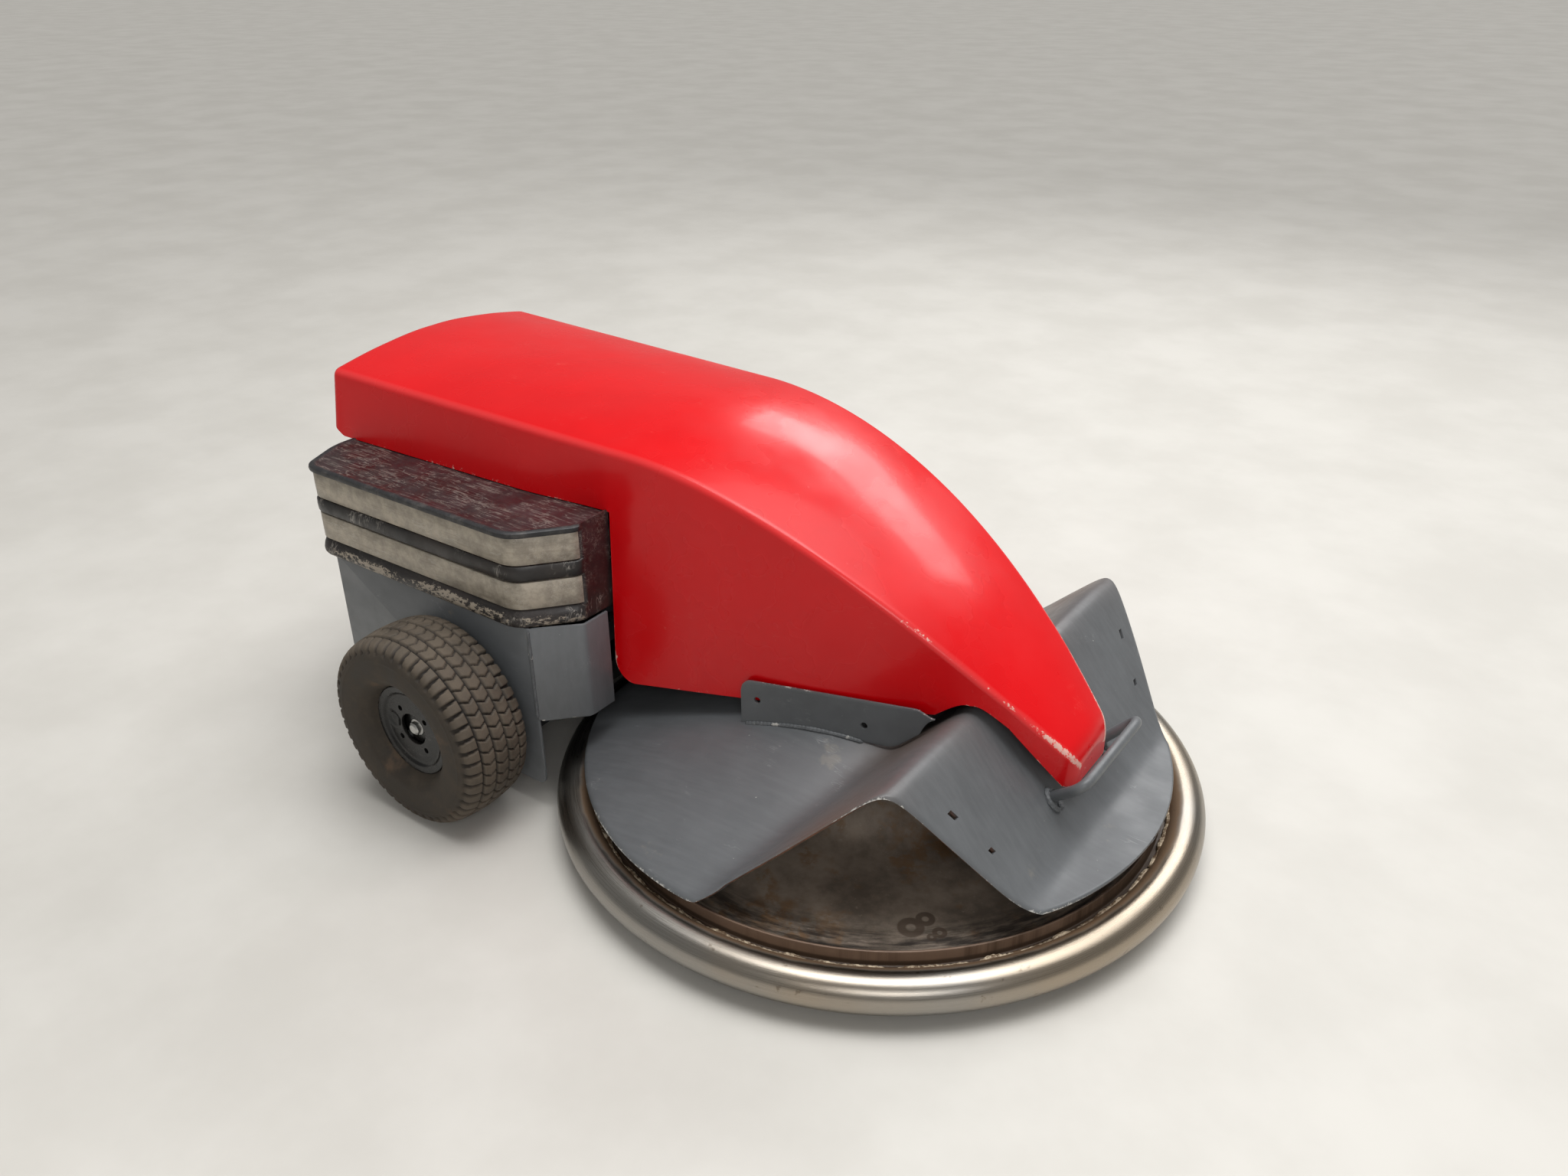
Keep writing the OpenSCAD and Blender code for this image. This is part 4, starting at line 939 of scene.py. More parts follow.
def hood_piece():
    """Hood: cross-sections carried along its length. A section is a leaning side, a fold rounded
    by a quadratic curve, and a parabola for the crown; both ends draw in on a quarter circle and
    are closed by straight lines across. An apron hangs from the sides in front of the step."""
    facts = setting("sweeper_hood")
    fold, nose_r, rear_r = facts.crease / MM, facts.nose_round / MM, 11.0
    turn = np.linspace(0, math.pi / 2, 7)
    body = np.concatenate([
        np.linspace(HOOD_LOW[0] + rear_r, HOOD_LOW[0] + 24, 4),
        np.linspace(HOOD_LOW[0] + 24, STEP_X, 46)[1:],
        STEP_X + SKIRT_CURVE * (1 - np.cos(np.linspace(0, math.pi / 2, 9)))[1:],
        np.linspace(STEP_X + SKIRT_CURVE, ARCH_X, 50)[1:],
        np.linspace(ARCH_X, NOSE_X - nose_r, 50)[1:]])
    x = np.concatenate([HOOD_LOW[0] + rear_r * (1 - np.cos(turn))[:-1], body,
                        (NOSE_X - nose_r * (1 - np.cos(turn)))[::-1][1:]])
    inset = np.concatenate([rear_r * (1 - np.sin(turn))[:-1], body * 0,
                            (nose_r * (1 - np.sin(turn)))[::-1][1:]])
    half, top, crown, apron, rear_low, flare, lean = hood_lines(x)
    half, top = half - inset, top - inset
    ahead = x >= STEP_X - 0.01
    base = np.where(ahead, apron, rear_low)
    spread = np.where(ahead, flare, lean)
    slope = spread / (top - base)
    split = np.where(ahead, base + 0.72 * (top - base), base)
    a = np.minimum(fold, 0.3 * (top - base) * np.where(ahead, 0.85, 1.0))
    t = np.linspace(0, 1, 9, endpoint=False)[None, :]
    side_z = split[:, None] + (top - a - split)[:, None] * t
    side_y = half[:, None] + slope[:, None] * (top[:, None] - side_z)
    k = np.linspace(0, 1, 10, endpoint=False)[None, :]
    w, h, c = half[:, None], top[:, None], crown[:, None]
    a = a[:, None]
    end_z = h + c * (1 - ((w - a) / w) ** 2)
    fold_y = (1 - k) ** 2 * (w + slope[:, None] * a) + 2 * k * (1 - k) * w + k * k * (w - a)
    fold_z = (1 - k) ** 2 * (h - a) + 2 * k * (1 - k) * h + k * k * end_z
    u = np.linspace(1, 0, 18)[None, :]
    crown_y = (w - a) * u
    crown_z = h + c * (1 - (crown_y / w) ** 2) + wobble(x[:, None], crown_y * 1.7, 0.5) * smooth(0, 40,
            w - crown_y)
    ys = np.concatenate([side_y, fold_y, crown_y], 1)
    zs = np.concatenate([side_z, fold_z, crown_z], 1)
    nose = np.clip((x - STEP_X) / (NOSE_X - STEP_X), 0, 1)[:, None]
    on_fold = np.concatenate([side_y * 0, np.sin(math.pi * k) + 0 * w, crown_y * 0], 1)
    tip = smooth(NOSE_X - 45, NOSE_X - 4, x)[:, None]
    low_edge = np.concatenate([np.exp(-t * 9) + 0 * w, fold_y * 0, crown_y * 0], 1) * (~ahead[:, None])
    wear = np.clip(on_fold * (0.3 + 0.62 * nose**2) + tip * (0.14 + 0.26 * on_fold) + 0.55 * low_edge, 0, 1)
    left = np.stack([x[:, None] + 0 * ys, ys, zs], -1)
    right = left[:, ::-1][:, 1:] * [1, -1, 1]
    both = lambda v: np.concatenate([v, v[:, ::-1][:, 1:]], 1)
    # The fold mark also carries the painted highlight along the crease.
    parts = [surface(np.concatenate([left, right], 1), outward=(0, 0, 1), wear=both(wear),
                     fold=both(on_fold))]
    t = np.linspace(0, 0.72, 15)[None, :]
    f = ahead
    az = base[f, None] + (top - base)[f, None] * t
    ay = half[f, None] + spread[f, None] * (1 - t)
    along = x[f, None]
    wear_low = np.exp(-t * 16) * (0.5 + 0.3 * smooth(0, 200, along)) + np.exp(-(along - STEP_X)
            / 4) * 0.55 + 0.2 * tip[f]
    apron_left = np.stack([along + 0 * ay, ay, az], -1)
    for side in (1, -1):
        parts.append(surface(apron_left * [1, side, 1], outward=(0, side, 0), wear=np.clip(wear_low, 0, 1)))
    c = np.linspace(-1, 1, 11)[None, :]
    rear_y, rear_z = ys[0][:, None], zs[0][:, None]
    parts.append(surface(np.stack(np.broadcast_arrays(x[0], rear_y * c, rear_z), -1), outward=(-1, 0, 0)))
    front_y = np.concatenate([ay[-1], ys[-1]])[:, None]
    front_z = np.concatenate([az[-1], zs[-1]])[:, None]
    parts.append(surface(np.stack(np.broadcast_arrays(x[-1], front_y * c, front_z), -1), outward=(1, 0, 0),
                         wear=0.5))
    return build("hood_skin", parts, gloss_red(), "hood", "red_paint", ["hood_shell"], wall=facts.sheet,
                 sharp=50)


def round_hole(grid, drop, at, radius):
    """Drops the quads whose middle lies within a circle round (at, 0) and carries the points
    left on the hole's border straight out or in to the circle."""
    middle = (grid[:-1, :-1] + grid[1:, :-1] + grid[1:, 1:] + grid[:-1, 1:]) / 4
    gone = np.hypot(middle[..., 0] - at, middle[..., 1]) < radius
    near_gone, near_kept = (np.zeros(grid.shape[:2], bool) for _ in range(2))
    for near, mask in ((near_gone, gone), (near_kept, ~gone)):
        near[:-1, :-1] |= mask
        near[1:, :-1] |= mask
        near[1:, 1:] |= mask
        near[:-1, 1:] |= mask
    border = (near_gone & near_kept)[..., None]
    away = grid[..., :2] - [at, 0.0]
    on_circle = away * radius / np.maximum(np.linalg.norm(away, axis=-1, keepdims=True), 1e-6) + [at, 0.0]
    moved = np.concatenate([np.where(border, on_circle, grid[..., :2]), grid[..., 2:]], -1)
    moved[..., 2] = np.where(border[..., 0], guard_z(moved[..., 0], moved[..., 1]), moved[..., 2])
    return moved, drop | gone


def guard_piece():
    """Guard sheet: height is the cone, ridge and rim joined softly, over rows across the machine.
    Columns stand at set distances from the cut edge, where the sheet rolls down on a quarter
    circle; the four square holes are quads left out."""
    facts = setting("sweeper_guard")
    roll = facts.edge / MM
    corner_x = GUARD_FRONT_R * math.cos(CORNER_ANGLE)
    holes = [RIDGE_X + 46, RIDGE_X + 54, RIDGE_X + 88, RIDGE_X + 96]
    straight = np.arange(5, corner_x - 2, 5.0)
    straight = straight[np.min(np.abs(straight[:, None] - np.array(holes)), axis=1) > 2.4]
    front = GUARD_FRONT_R * np.cos(np.linspace(CORNER_ANGLE, 0.012, 34))
    x = np.concatenate([np.linspace(GUARD_LOW[0], 0, 66), np.sort(np.concatenate([straight, holes])),
                        front])[:, None]
    right = guard_half(x) - 4 * smooth(24, 27, x) * (1 - smooth(30, 150, x))
    left = right + guard_bow(x)
    inward = np.array([0, 0.25, 0.6, 0.95]) * roll
    inward = np.concatenate([inward, [roll + 4, roll + 12, 34, 42]])[None, :] * np.clip(right / 85, 0, 1)
    inner = np.linspace(1, -1, 47)[None, 1:-1]
    across = (np.where(inner > 0, left, right) - inward[:, -1:]) * inner
    y = np.concatenate([left - inward, across, (inward - right)[:, ::-1]], 1)
    depth = np.where(y > 0, left, right) - np.abs(y)
    z = guard_z(x + 0 * y, y) + wobble(x, y, 0.7) * smooth(0, 60, depth)
    inside = 1 - np.clip(depth / roll, 0, 1)
    z = z - 0.62 * roll * (1 - np.sqrt(1 - inside**2 * 0.98))
    z = z + 1.6 * smooth(24, 27, x) * (1 - smooth(30, 90, x)) * smooth(330, 380, np.abs(y))
    row = np.isin(np.round(x[:-1, 0], 3), np.round([holes[0], holes[2]], 3))
    col = np.zeros(y.shape[1] - 1, bool)
    col[6] = col[-7] = True
    wear = np.exp(-depth / 3.2) * 0.9 + 0.5 * np.exp(-np.hypot(x - NOSE_X - 10, np.abs(y) - 80) / 22)
    wear = wear + 0.35 * np.exp(-np.abs(x - RIDGE_X) / 16) * smooth(330, 380, np.abs(y))
    brown = np.exp(-((x - 128) / 55) ** 2) * (0.45 + 0.55 * np.sin(y / 70) ** 2) * smooth(40, 130, np.abs(y))
    grid = np.stack([x + 0 * y, y, z], -1)
    drop = row[:, None] & col[None, :]
    motor_low, motor_high = corners("pinion")
    for at, radius in ((0.0, HUB_HOLE_R), ((motor_low[0] + motor_high[0]) / 2, PINION_HOLE_R)):
        grid, drop = round_hole(grid, drop, at, radius)
    sheet = surface(grid, outward=(0, 0, 1), drop=drop, wear=np.clip(wear, 0, 1), brown=np.clip(brown, 0, 1))
    piece = build("guard_skin", [sheet], grey_paint(), "frame", "grey_paint", ["guard_sheet"],
                  wall=facts.sheet, bevel=0.0012, even=False)
    shade_under(piece)
    return piece


def shade_under(piece):
    """Marks the underside with painted shade and rust patches: 1 where a point's normal looks down, with a
    soft change.
    """
    mesh = piece.data
    normals = np.empty(len(mesh.vertices) * 3, np.float32)
    mesh.vertices.foreach_get("normal", normals)
    down = smooth(-0.15, 0.35, -normals.reshape(-1, 3)[:, 2])
    mark_now = mesh.attributes.get("rust_and_under_shade") or mesh.attributes.new("rust_and_under_shade", "FLOAT", "POINT")
    mark_now.data.foreach_set("value", down.astype(np.float32))


def flange_pieces():
    """Upright flanges: a grid over length and height. The foot follows the guard sheet, the top
    edge rises forward with a rounded rear corner, and the front end slopes."""
    top = RIM_Z + 150
    for side, name in SIDES:
        v = np.linspace(0, 1, 15)[None, :]
        n = np.concatenate([np.linspace(0, 0.06, 9), np.linspace(0.06, 1, 62)[1:]])[:, None]
        length = 244 + 18 * v
        u = n * length
        gx, gy = FLANGE_X0 + u * math.cos(FLANGE_TURN), FLANGE_Y0 - u * math.sin(FLANGE_TURN)
        foot = guard_z(gx, gy - 1.5) + 0.4 + 4.5 * smooth(168, 200, u)
        high = top + 19 * u / 254 - 10 * smooth(236, 262, u)
        high = high - 15 + np.sqrt(np.maximum(0, 225 - np.maximum(0, 15 - u) ** 2))
        z = foot + (high - foot) * v
        grid = np.stack([gx, gy - FLANGE_T, z], -1) * [1, side, 1]
        near = np.minimum(np.minimum(u, (1 - v) * 90), length - u)
        plate = surface(grid, outward=(0, -side, 0), wear=np.clip(np.exp(-near / 2.5) * 0.8, 0, 1))
        cutters = []
        angle = round_angles(24)
        for at, drop in FLANGE_HOLES:
            cx, cy = FLANGE_X0 + at * math.cos(FLANGE_TURN), FLANGE_Y0 - at * math.sin(FLANGE_TURN)
            flat = np.stack([cx + 4.5 * np.cos(angle), angle * 0 + cy - 12,
                             top + drop + at * 0.1 + 4.5 * np.sin(angle)], -1)
            cutters.append(slab(flat, lambda p, d: (p + [0, d, 0]) * [1, side, 1], 22.0))
        build(f"flange_{name}_plate", [plate], grey_paint(), "frame", "grey_paint", [f"flange_{name}"],
              wall=FLANGE_T * MM, bevel=0.0007, cut=cutters)
        run = np.linspace(6, 172, 60)
        for out, tag in ((0.8, "outer"), (-FLANGE_T - 1.2, "inner")):
            wx = FLANGE_X0 + run * math.cos(FLANGE_TURN)
            wy = FLANGE_Y0 - run * math.sin(FLANGE_TURN) + out
            path = np.stack([wx, wy * side, guard_z(wx, wy) + 0.9], -1)
            build(f"flange_{name}_weld_{tag}", [weld(path, 2.6)], painted_weld(), "frame", "grey_paint")


def painted_weld():
    def fill(tree):
        at = object_place(tree)
        value = noise(tree, at, 90.0, 5.0, 0.7)
        paint = tuple(setting("sweeper_guard").paint)
        colour = blend(tree, step(tree, value, 0.3, 0.7), shade(paint, 0.75), shade(paint, 1.2))
        bare = patch(tree, at, 55.0, 0.58, 0.64)
        colour = tint(tree, colour, bare, 0.8, (0.5, 0.48, 0.44))
        return {"Base Color": colour, "Roughness": step(tree, value, 0.3, 0.7, 0.4, 0.6), "Height": value,
                "Strength": 0.4, "Distance": 0.001}
    return finish("Painted weld", fill)


def bar_piece():
    """Bar before the nose: a round bar on a path of straight runs with rounded bends, a weld
    collar round each foot."""
    radius = setting("sweeper_guard").bar / MM / 2
    front, half = BAR_HIGH[0] - 7.3, (BAR_HIGH[1] - BAR_LOW[1]) / 2 - 7.3
    height = NOSE_TOP - 8
    foot_x = NOSE_X - 23
    foot_z = guard_z(np.array(foot_x), 0.0) + 1.5
    path = round_corners([
        [foot_x, -half + 20, foot_z], [front, -half, height], [front, half, height],
        [foot_x, half - 20, foot_z]],
        [26, 26], 12)
    path = resample(path, 4) + [0, BAR_MID, 0]
    normal = np.cross(path[len(path) // 2 + 3] - path[len(path) // 2 - 3], path[0] - path[len(path) // 2])
    parts = [rod(path, radius, normal / np.linalg.norm(normal), 20)]
    build("nose_guard_bar", parts, grey_paint(), "frame", "grey_paint", ["nose_bar"])
    angle = np.linspace(0, 2 * math.pi, 41)
    for side, name in SIDES:
        cx, cy = foot_x + 3, half - 20
        px, py = cx + 9.5 * np.cos(angle), cy + 8.2 * np.sin(angle)
        ring = np.stack([px, py * side + BAR_MID, guard_z(px, 0 * py) + 1.6], -1)
        build(f"bar_weld_{name}", [weld(ring, 3.4)], painted_weld(), "frame", "grey_paint")


def ring_piece():
    """Ring: a circle carried round the disc's axis; its weld bead is a wavy bar inside it."""
    angle = round_angles(288)[:, None]
    tube = round_angles(40)[None, :]
    r = RING_R + TUBE_R * np.cos(tube)
    grid = upright(r * np.cos(angle), r * np.sin(angle), RING_Z + TUBE_R * np.sin(tube) + 0 * angle)
    facing = np.clip(-np.cos(tube - math.radians(-28)), 0, 1)
    inner = smooth(0.35, 1.0, facing) + 0 * angle
    build("ring_tube", [surface(grid, True, True, round=tube + 0 * angle, inner=inner)], ring_steel(),
          "disc", "bare_ring_steel", ["disc_ring"])
    run = np.linspace(0, 2 * math.pi, 900)
    reach = RING_R - 22.6 + 1.1 * np.sin(run * 31) + 0.8 * np.sin(run * 77 + 1)
    path = np.stack([reach * np.cos(run), reach * np.sin(run), 51.5 + 1.0 * np.sin(run * 53)], -1)
    build("ring_weld", [weld(path, setting("sweeper_disc").bead / MM, pitch=7)], weld_metal(), "disc",
          "rusted_steel")


def disc_piece():
    """Disc: a profile turned about its axis, dished up to the boss, with a lip and an outer step
    that meets the ring; the plate swells slightly round the angle."""
    low = DISC_LOW[2]
    outer = DISC_HIGH[0]
    top = 60.0
    lip = RING_R - TUBE_R - 6
    boss = 120.0
    t = SHEET_T
    profile = loop_closed([
        [27, boss - t], [27, boss], [130, boss], [190, top], [lip - 3, top], [lip - 3, top + 10],
        [lip, top + 10], [lip, low + t], [outer, low + t], [outer, low], [lip - t, low],
        [lip - t, top - t], [188, top - t], [128, boss - t]],
        [1, 1, 16, 20, 3, 1.2, 1.2, 2, 1, 1, 2, 3, 18, 14])
    profile = resample(np.concatenate([profile, profile[:1]]), 14)[:-1]

    def swell(radius, height, angle):
        waves = np.sin(3 * angle) + 0.5 * np.sin(7 * angle + 1)
        return 0.9 * smooth(200, 330, radius) * waves * smooth(0, 30, lip - radius)
    grid = lathe(profile, upright, 240, ripple=swell)
    return build("disc_sheet", [surface(grid, True, True)], rubbed_plate(), "disc", "rusted_steel",
                 ["disc_plate"], sharp=50)


def tyre_section():
    """Outer half section of the tyre as (distance from its middle, radius), from bead to crown,
    drawn smoothly and with closer points on the tread."""
    half = WHEEL_HALF_W
    r = WHEEL_R
    line = np.array([
        [half - 24.9, r - 83], [half - 24.7, r - 75.5], [half - 20, r - 73.5], [half - 11, r - 68],
        [half - 3.2, r - 57], [half - 0.3, r - 44], [half, r - 33], [half - 0.8, r - 23],
        [half - 3.2, r - 14], [half - 8, r - 7.6], [half - 18, r - 3.6], [half - 34, r - 1.2], [0, r]])
    fine = np.linspace(0, len(line) - 1, 400)
    k = np.clip(fine.astype(int), 0, len(line) - 2)
    f = (fine - k)[:, None]
    pad = np.concatenate([2 * line[:1] - line[1:2], line, line[-2:-1] * [-1, 1]])
    p0, p1, p2, p3 = pad[k], pad[k + 1], pad[k + 2], pad[k + 3]
    curve = 0.5 * (2 * p1 + (p2 - p0) * f + (2 * p0 - 5 * p1 + 4 * p2 - p3) * f**2
                   + (3 * p1 - p0 - 3 * p2 + p3) * f**3)
    run = np.concatenate([[0], np.cumsum(np.linalg.norm(np.diff(curve, axis=0), axis=1))])
    start = np.interp(r - 32, curve[:200, 1], run[:200])
    at = np.concatenate([np.linspace(0, start, 12, endpoint=False),
                         np.linspace(start, run[-1], int((run[-1] - start) / 1.6))])
    return np.stack([np.interp(at, run, curve[:, 0]), np.interp(at, run, curve[:, 1])], 1)


def groove(distance, half, soft=0.9):
    return 1 - smooth(half, half + soft, np.abs(distance))


def tyre_pieces():
    """Tyres: the section turned about the axle, pushed in along its normal where grooves run.
    Lateral grooves repeat once each block; in the three inner rows they bend to a V, and the
    shoulder lugs run down on to the sidewall."""
    facts = setting("sweeper_wheels")
    depth = facts.tread / MM
    half_line = tyre_section()
    outer = np.concatenate([half_line, half_line[-2::-1] * [-1, 1]])
    normal = np.gradient(outer, axis=0)
    normal = np.stack([-normal[:, 1], normal[:, 0]], 1)
    normal /= np.linalg.norm(normal, axis=1)[:, None]
    normal *= np.sign((normal * (outer - [0, WHEEL_R - 30])).sum(1))[:, None]
    count = facts.blocks * POINTS_PER_BLOCK
    angle = round_angles(count)[:, None]
    w, r = outer[None, :, 0], outer[None, :, 1]
    pitch = 2 * math.pi * WHEEL_R / facts.blocks
    side = np.abs(w)
    first, second = TREAD_ROWS[0] * WHEEL_HALF_W, TREAD_ROWS[1] * WHEEL_HALF_W
    local = np.where(side < second, (side - np.where(side < first, 0.0, 2 * first)) / (2 * first), 0)
    bend = np.where(side < second, 0.3 * (1 - 2 * np.abs(local)), 0.12 * (side - second) / 20 + 0.1)
    shift = np.where((side >= first) & (side < second), 0.5, 0.0)
    phase = facts.blocks * angle / (2 * math.pi) + shift + bend
    lateral = (phase - np.floor(phase) - 0.5) * pitch
    on_shoulder = side > second
    lower = np.clip((WHEEL_R - 3 - r) / 15, 0, 1)
    width = np.where(on_shoulder, 1.3 + 1.9 * lower, 0.85)
    reach = smooth(WHEEL_R - 21, WHEEL_R - 15, r)
    cut = groove(lateral, width) * reach * np.where(on_shoulder, 1 - 0.35 * lower, 0.8)
    around = np.maximum(groove(side - first, 0.8), groove(side - second, 1.1)) * (r > WHEEL_R - 12)
    cut = np.maximum(cut, around)
    lug_end = on_shoulder * smooth(0.55, 1, lower) * 0.25
    push = depth * (cut + lug_end * reach)
    rib = np.exp(-((r - (WHEEL_R - 58)) / 1.6) ** 2) + 0.7 * np.exp(-((r - (WHEEL_R - 27)) / 1.2) ** 2)
    ww = w + normal[None, :, 0] * (rib - push)
    rr = r + normal[None, :, 1] * (rib - push)
    liner = np.array([[-25, -79], [-42, -60], [-46, -34], [-36, -17], [0, -12], [36, -17], [46, -34],
                      [42, -60], [25, -79]], float)
    ww = np.concatenate([ww + 0 * angle, liner[None, :, 0] + 0 * angle], 1)
    rr = np.concatenate([rr + 0 * angle, WHEEL_R + liner[None, :, 1] + 0 * angle], 1)
    pad = np.zeros((count, len(liner)))
    # Painted shade mask: grooves by their depth, and the hidden liner fully, are darkened in the rubber.
    low = np.concatenate([cut * 0.95 + 0 * angle, pad + 1], 1)
    tread = np.concatenate([smooth(WHEEL_R - 19, WHEEL_R - 10, r) + 0 * angle, pad], 1)
    for y_side, name in SIDES:
        place = on_axle(y_side)
        grid = place(rr * np.cos(angle), rr * np.sin(angle), WHEEL_MID_Y + ww)
        build(f"tyre_{name}_tread", [surface(grid, True, True, groove=low, tread=tread)], tyre_rubber(),
              f"wheel_{name}", "tyre_rubber", [f"tyre_{name}"], sharp=180)


def rim_pieces():
    """Rims: a turned cover disc with a rolled lip and a barrel behind it, four small holes and
    one shallow round dent; the hub's bolts are turned hexagons."""
    face = TYRE_HIGH[1] - 25.4
    r = 58.0
    profile = loop_closed([
        [23, face], [r - 5, face], [r - 1, face + 3.5], [r + 8, face + 4.5], [r + 9.2, face + 2.4],
        [r + 8, face + 0.4], [r + 0.4, face - 3], [r, face - 59.5], [r + 8, face - 62.5],
        [r + 9, face - 65.3], [r - 4, face - 65.3], [r - 4.5, face - 14], [r - 6, face - 5],
        [23, face - 5]],
        [1.5, 3, 2, 1.2, 1.2, 1, 3, 3, 2, 1, 2, 4, 3, 1.5])
    profile = resample(np.concatenate([profile, profile[:1]]), 3.2)[:-1]

    def dent(radius, height, angle):
        away = np.hypot(radius * np.cos(angle) + 38, radius * np.sin(angle) - 3)
        on_face = (height > face - 8) & (radius < r - 3)
        return -2.0 * (1 - smooth(8, 13.5, away)) * on_face
    hub_face = HUB_HIGH[1]
    for side, name in SIDES:
        place = on_axle(side)
        grid = lathe(profile, place, 120, ripple=dent)
        cutters = []
        ring = round_angles(20)
        for a in np.radians([38, 128, 218, 308]):
            cx, cy = 34 * math.cos(a), 34 * math.sin(a)
            cutters.append(slab(np.stack([cx + 4.2 * np.cos(ring), cy + 4.2 * np.sin(ring)], -1),
                                lambda p, d: place(p[:, 0], p[:, 1], face - 12 + d + 0 * p[:, 0]), 20.0))
        build(f"rim_{name}_disc", [surface(grid, True, True)], black_rim(), f"wheel_{name}", "rim_paint",
              [f"rim_{name}"], sharp=42, cut=cutters)
        at_hub = lambda x, y, z: place(x, y, hub_face + z)
        parts = hex_head(at_hub, 17.0, 7.0, 12.0)
        for a in np.radians([45, 135, 225, 315]):
            cx, cy = 31 * math.cos(a), 31 * math.sin(a)
            parts += hex_head(lambda x, y, z: place(cx + x, cy + y, hub_face - 4 + z), 12.0, 5.0)
        build(f"hub_bolts_{name}", parts, inner_finishes()["zinc"], f"wheel_{name}", "zinc_plate",
              [f"wheel_bolts_{name}"])


def box_outline(radius):
    """Plan of a side box from its rear inner end round to its front inner end, corners rounded."""
    x0, y1 = STRIP_LOW[0], STRIP_HIGH[1]
    x1 = STRIP_HIGH[0]
    inner = HOOD_INNER_Y
    line = [[x0, inner], [x0, y1 - 70], [x0 + 30, y1], [SIDE_HIGH[0] - 13, y1], [x1, y1 - 68], [x1, inner]]
    return resample(round_corners(line, [radius * 0.8, radius, radius, radius * 0.5], 9), 7)


def outline_normals(line):
    along = np.gradient(line, axis=0)
    along /= np.linalg.norm(along, axis=1)[:, None]
    return np.stack([-along[:, 1], along[:, 0]], 1)


def side_box_pieces():
    """Side boxes: a wall profile of outward offset and height carried round the plan, with a lower
    lip, a recess behind each strip, a band between them and a rubber lip on top; the top then runs
    in to the hood. Strips are a thin rectangle carried along the same plan."""
    facts = setting("sweeper_boxes")
    lip = facts.lip / MM
    line = box_outline(facts.corner / MM)
    normal = outline_normals(line)
    normal = normal * np.sign((normal * (line - [-530, 200])).sum(1))[:, None]
    z0, z1 = BOX_LOW[2], BOX_HIGH[2]
    s2, s1 = STRIP_LOW[2], STRIP_HIGH[2]
    wide = STRIP_WIDE
    wall = np.array([
        [-16, z0], [-3, z0 - 1], [1.6, z0 + 0.6], [3.6, z0 + 4], [3.8, z0 + 9], [2.4, z0 + 15],
        [-1.2, s2 - 3.2], [-3.4, s2 - 1.6],
        [-3.4, s2 + wide + 1.4], [-0.6, s2 + wide + 2], [1.4, s2 + wide + 4.4],
        [1.9, (s1 + s2) / 2],
        [1.4, s1 - wide - 4.4], [-0.6, s1 - wide - 2], [-3.4, s1 - wide - 1.4],
        [-3.4, s1 + 0.3], [lip * 0.35, s1 + 0.2], [lip * 0.85, s1 + 1.5], [lip, s1 + 4.4],
        [lip * 0.85, s1 + 7.4], [0.4, s1 + 9.2], [-3.6, s1 + 9.0], [-6.4, s1 + 7.4], [-12, z1 + 0.5]])
    flat = np.array([min(0.0, a) if z < z0 + 2 or z > s1 + 7 else 0.2 for a, z in wall])
    past = np.arange(len(line)) >= np.argmax(line[:, 0] >= STRIP_HIGH[0] - 0.5)
    keep = 1 - smooth(0, 2, np.cumsum(past).astype(float))[:, None]
    out = wall[None, :, 0] * keep + flat[None] * (1 - keep)
    xy = line[:, None] + normal[:, None] * out[..., None]
    rim = np.concatenate([xy, np.broadcast_to(wall[None, :, 1:], xy.shape[:2] + (1,))], -1)
    s = np.linspace(0, 1, 14)[None, 1:, None]
    last = rim[:, -1:]
    goal = np.concatenate([last[..., :1], 0 * last[..., :1] + HOOD_INNER_Y, last[..., 2:] - 0.4], -1)
    lid = last + (goal - last) * s
    lid[..., 2] += 0.5 * np.sin(lid[..., 0] / 31) * np.sin(lid[..., 1] / 17) * np.sin(math.pi * s[..., 0])
    back = lid[:, -1:] * [1, 1, 0] + [0, 0, z0]
    grid = np.concatenate([rim, lid, back], 1)
    rows = grid.shape[:2]
    height = grid[..., 2]
    col = np.arange(rows[1])[None, :] + 0 * height
    on_lip = ((col >= 15.5) & (col <= 21.5)) * keep
    on_band = (smooth(s2 + wide + 1, s2 + wide + 2, height)
               * (1 - smooth(s1 - wide - 2, s1 - wide - 1, height)) * (col < 15) * keep)
    low = np.exp(-np.maximum(0, height - z0 - 16) / 3) * (col < 9) * (0.35 + 0.65 * keep)
    parts = surface(grid, wrap_cols=True, caps=True, lip=on_lip,
                    band=np.clip(on_band + (col < 8) * 0.9, 0, 1), low=low)
    for side, name in SIDES:
        body = dict(parts)
        if side < 0:
            body = surface(grid * [1, -1, 1], wrap_cols=True, caps=True,
                           **{k: v.reshape(rows) for k, v in parts["marks"].items()})
        build(f"side_box_{name}_case", [body], box_finish(), "frame", "side_box_paint",
              [f"side_box_{name}"], sharp=45)
        strips = []
        chosen = (line[:, 1] >= STRIP_HIGH[1] - 72) & ~past
        for base in (s2, s1 - wide):
            section = np.array([
                [-3.3, base], [-0.7, base], [-0.1, base + 0.7], [0.1, base + wide / 2],
                [-0.1, base + wide - 0.7], [-0.7, base + wide], [-3.3, base + wide]])
            flat_xy = line[chosen][:, None] + normal[chosen][:, None] * section[None, :, :1]
            heights = np.broadcast_to(section[None, :, 1:], flat_xy.shape[:2] + (1,))
            strip = np.concatenate([flat_xy, heights], -1)
            strips.append(surface(strip * [1, side, 1], wrap_cols=True, caps=True))
        build(f"rub_strips_{name}", strips, worn_strip(), "frame", "worn_steel", [f"strips_{name}"], sharp=50)


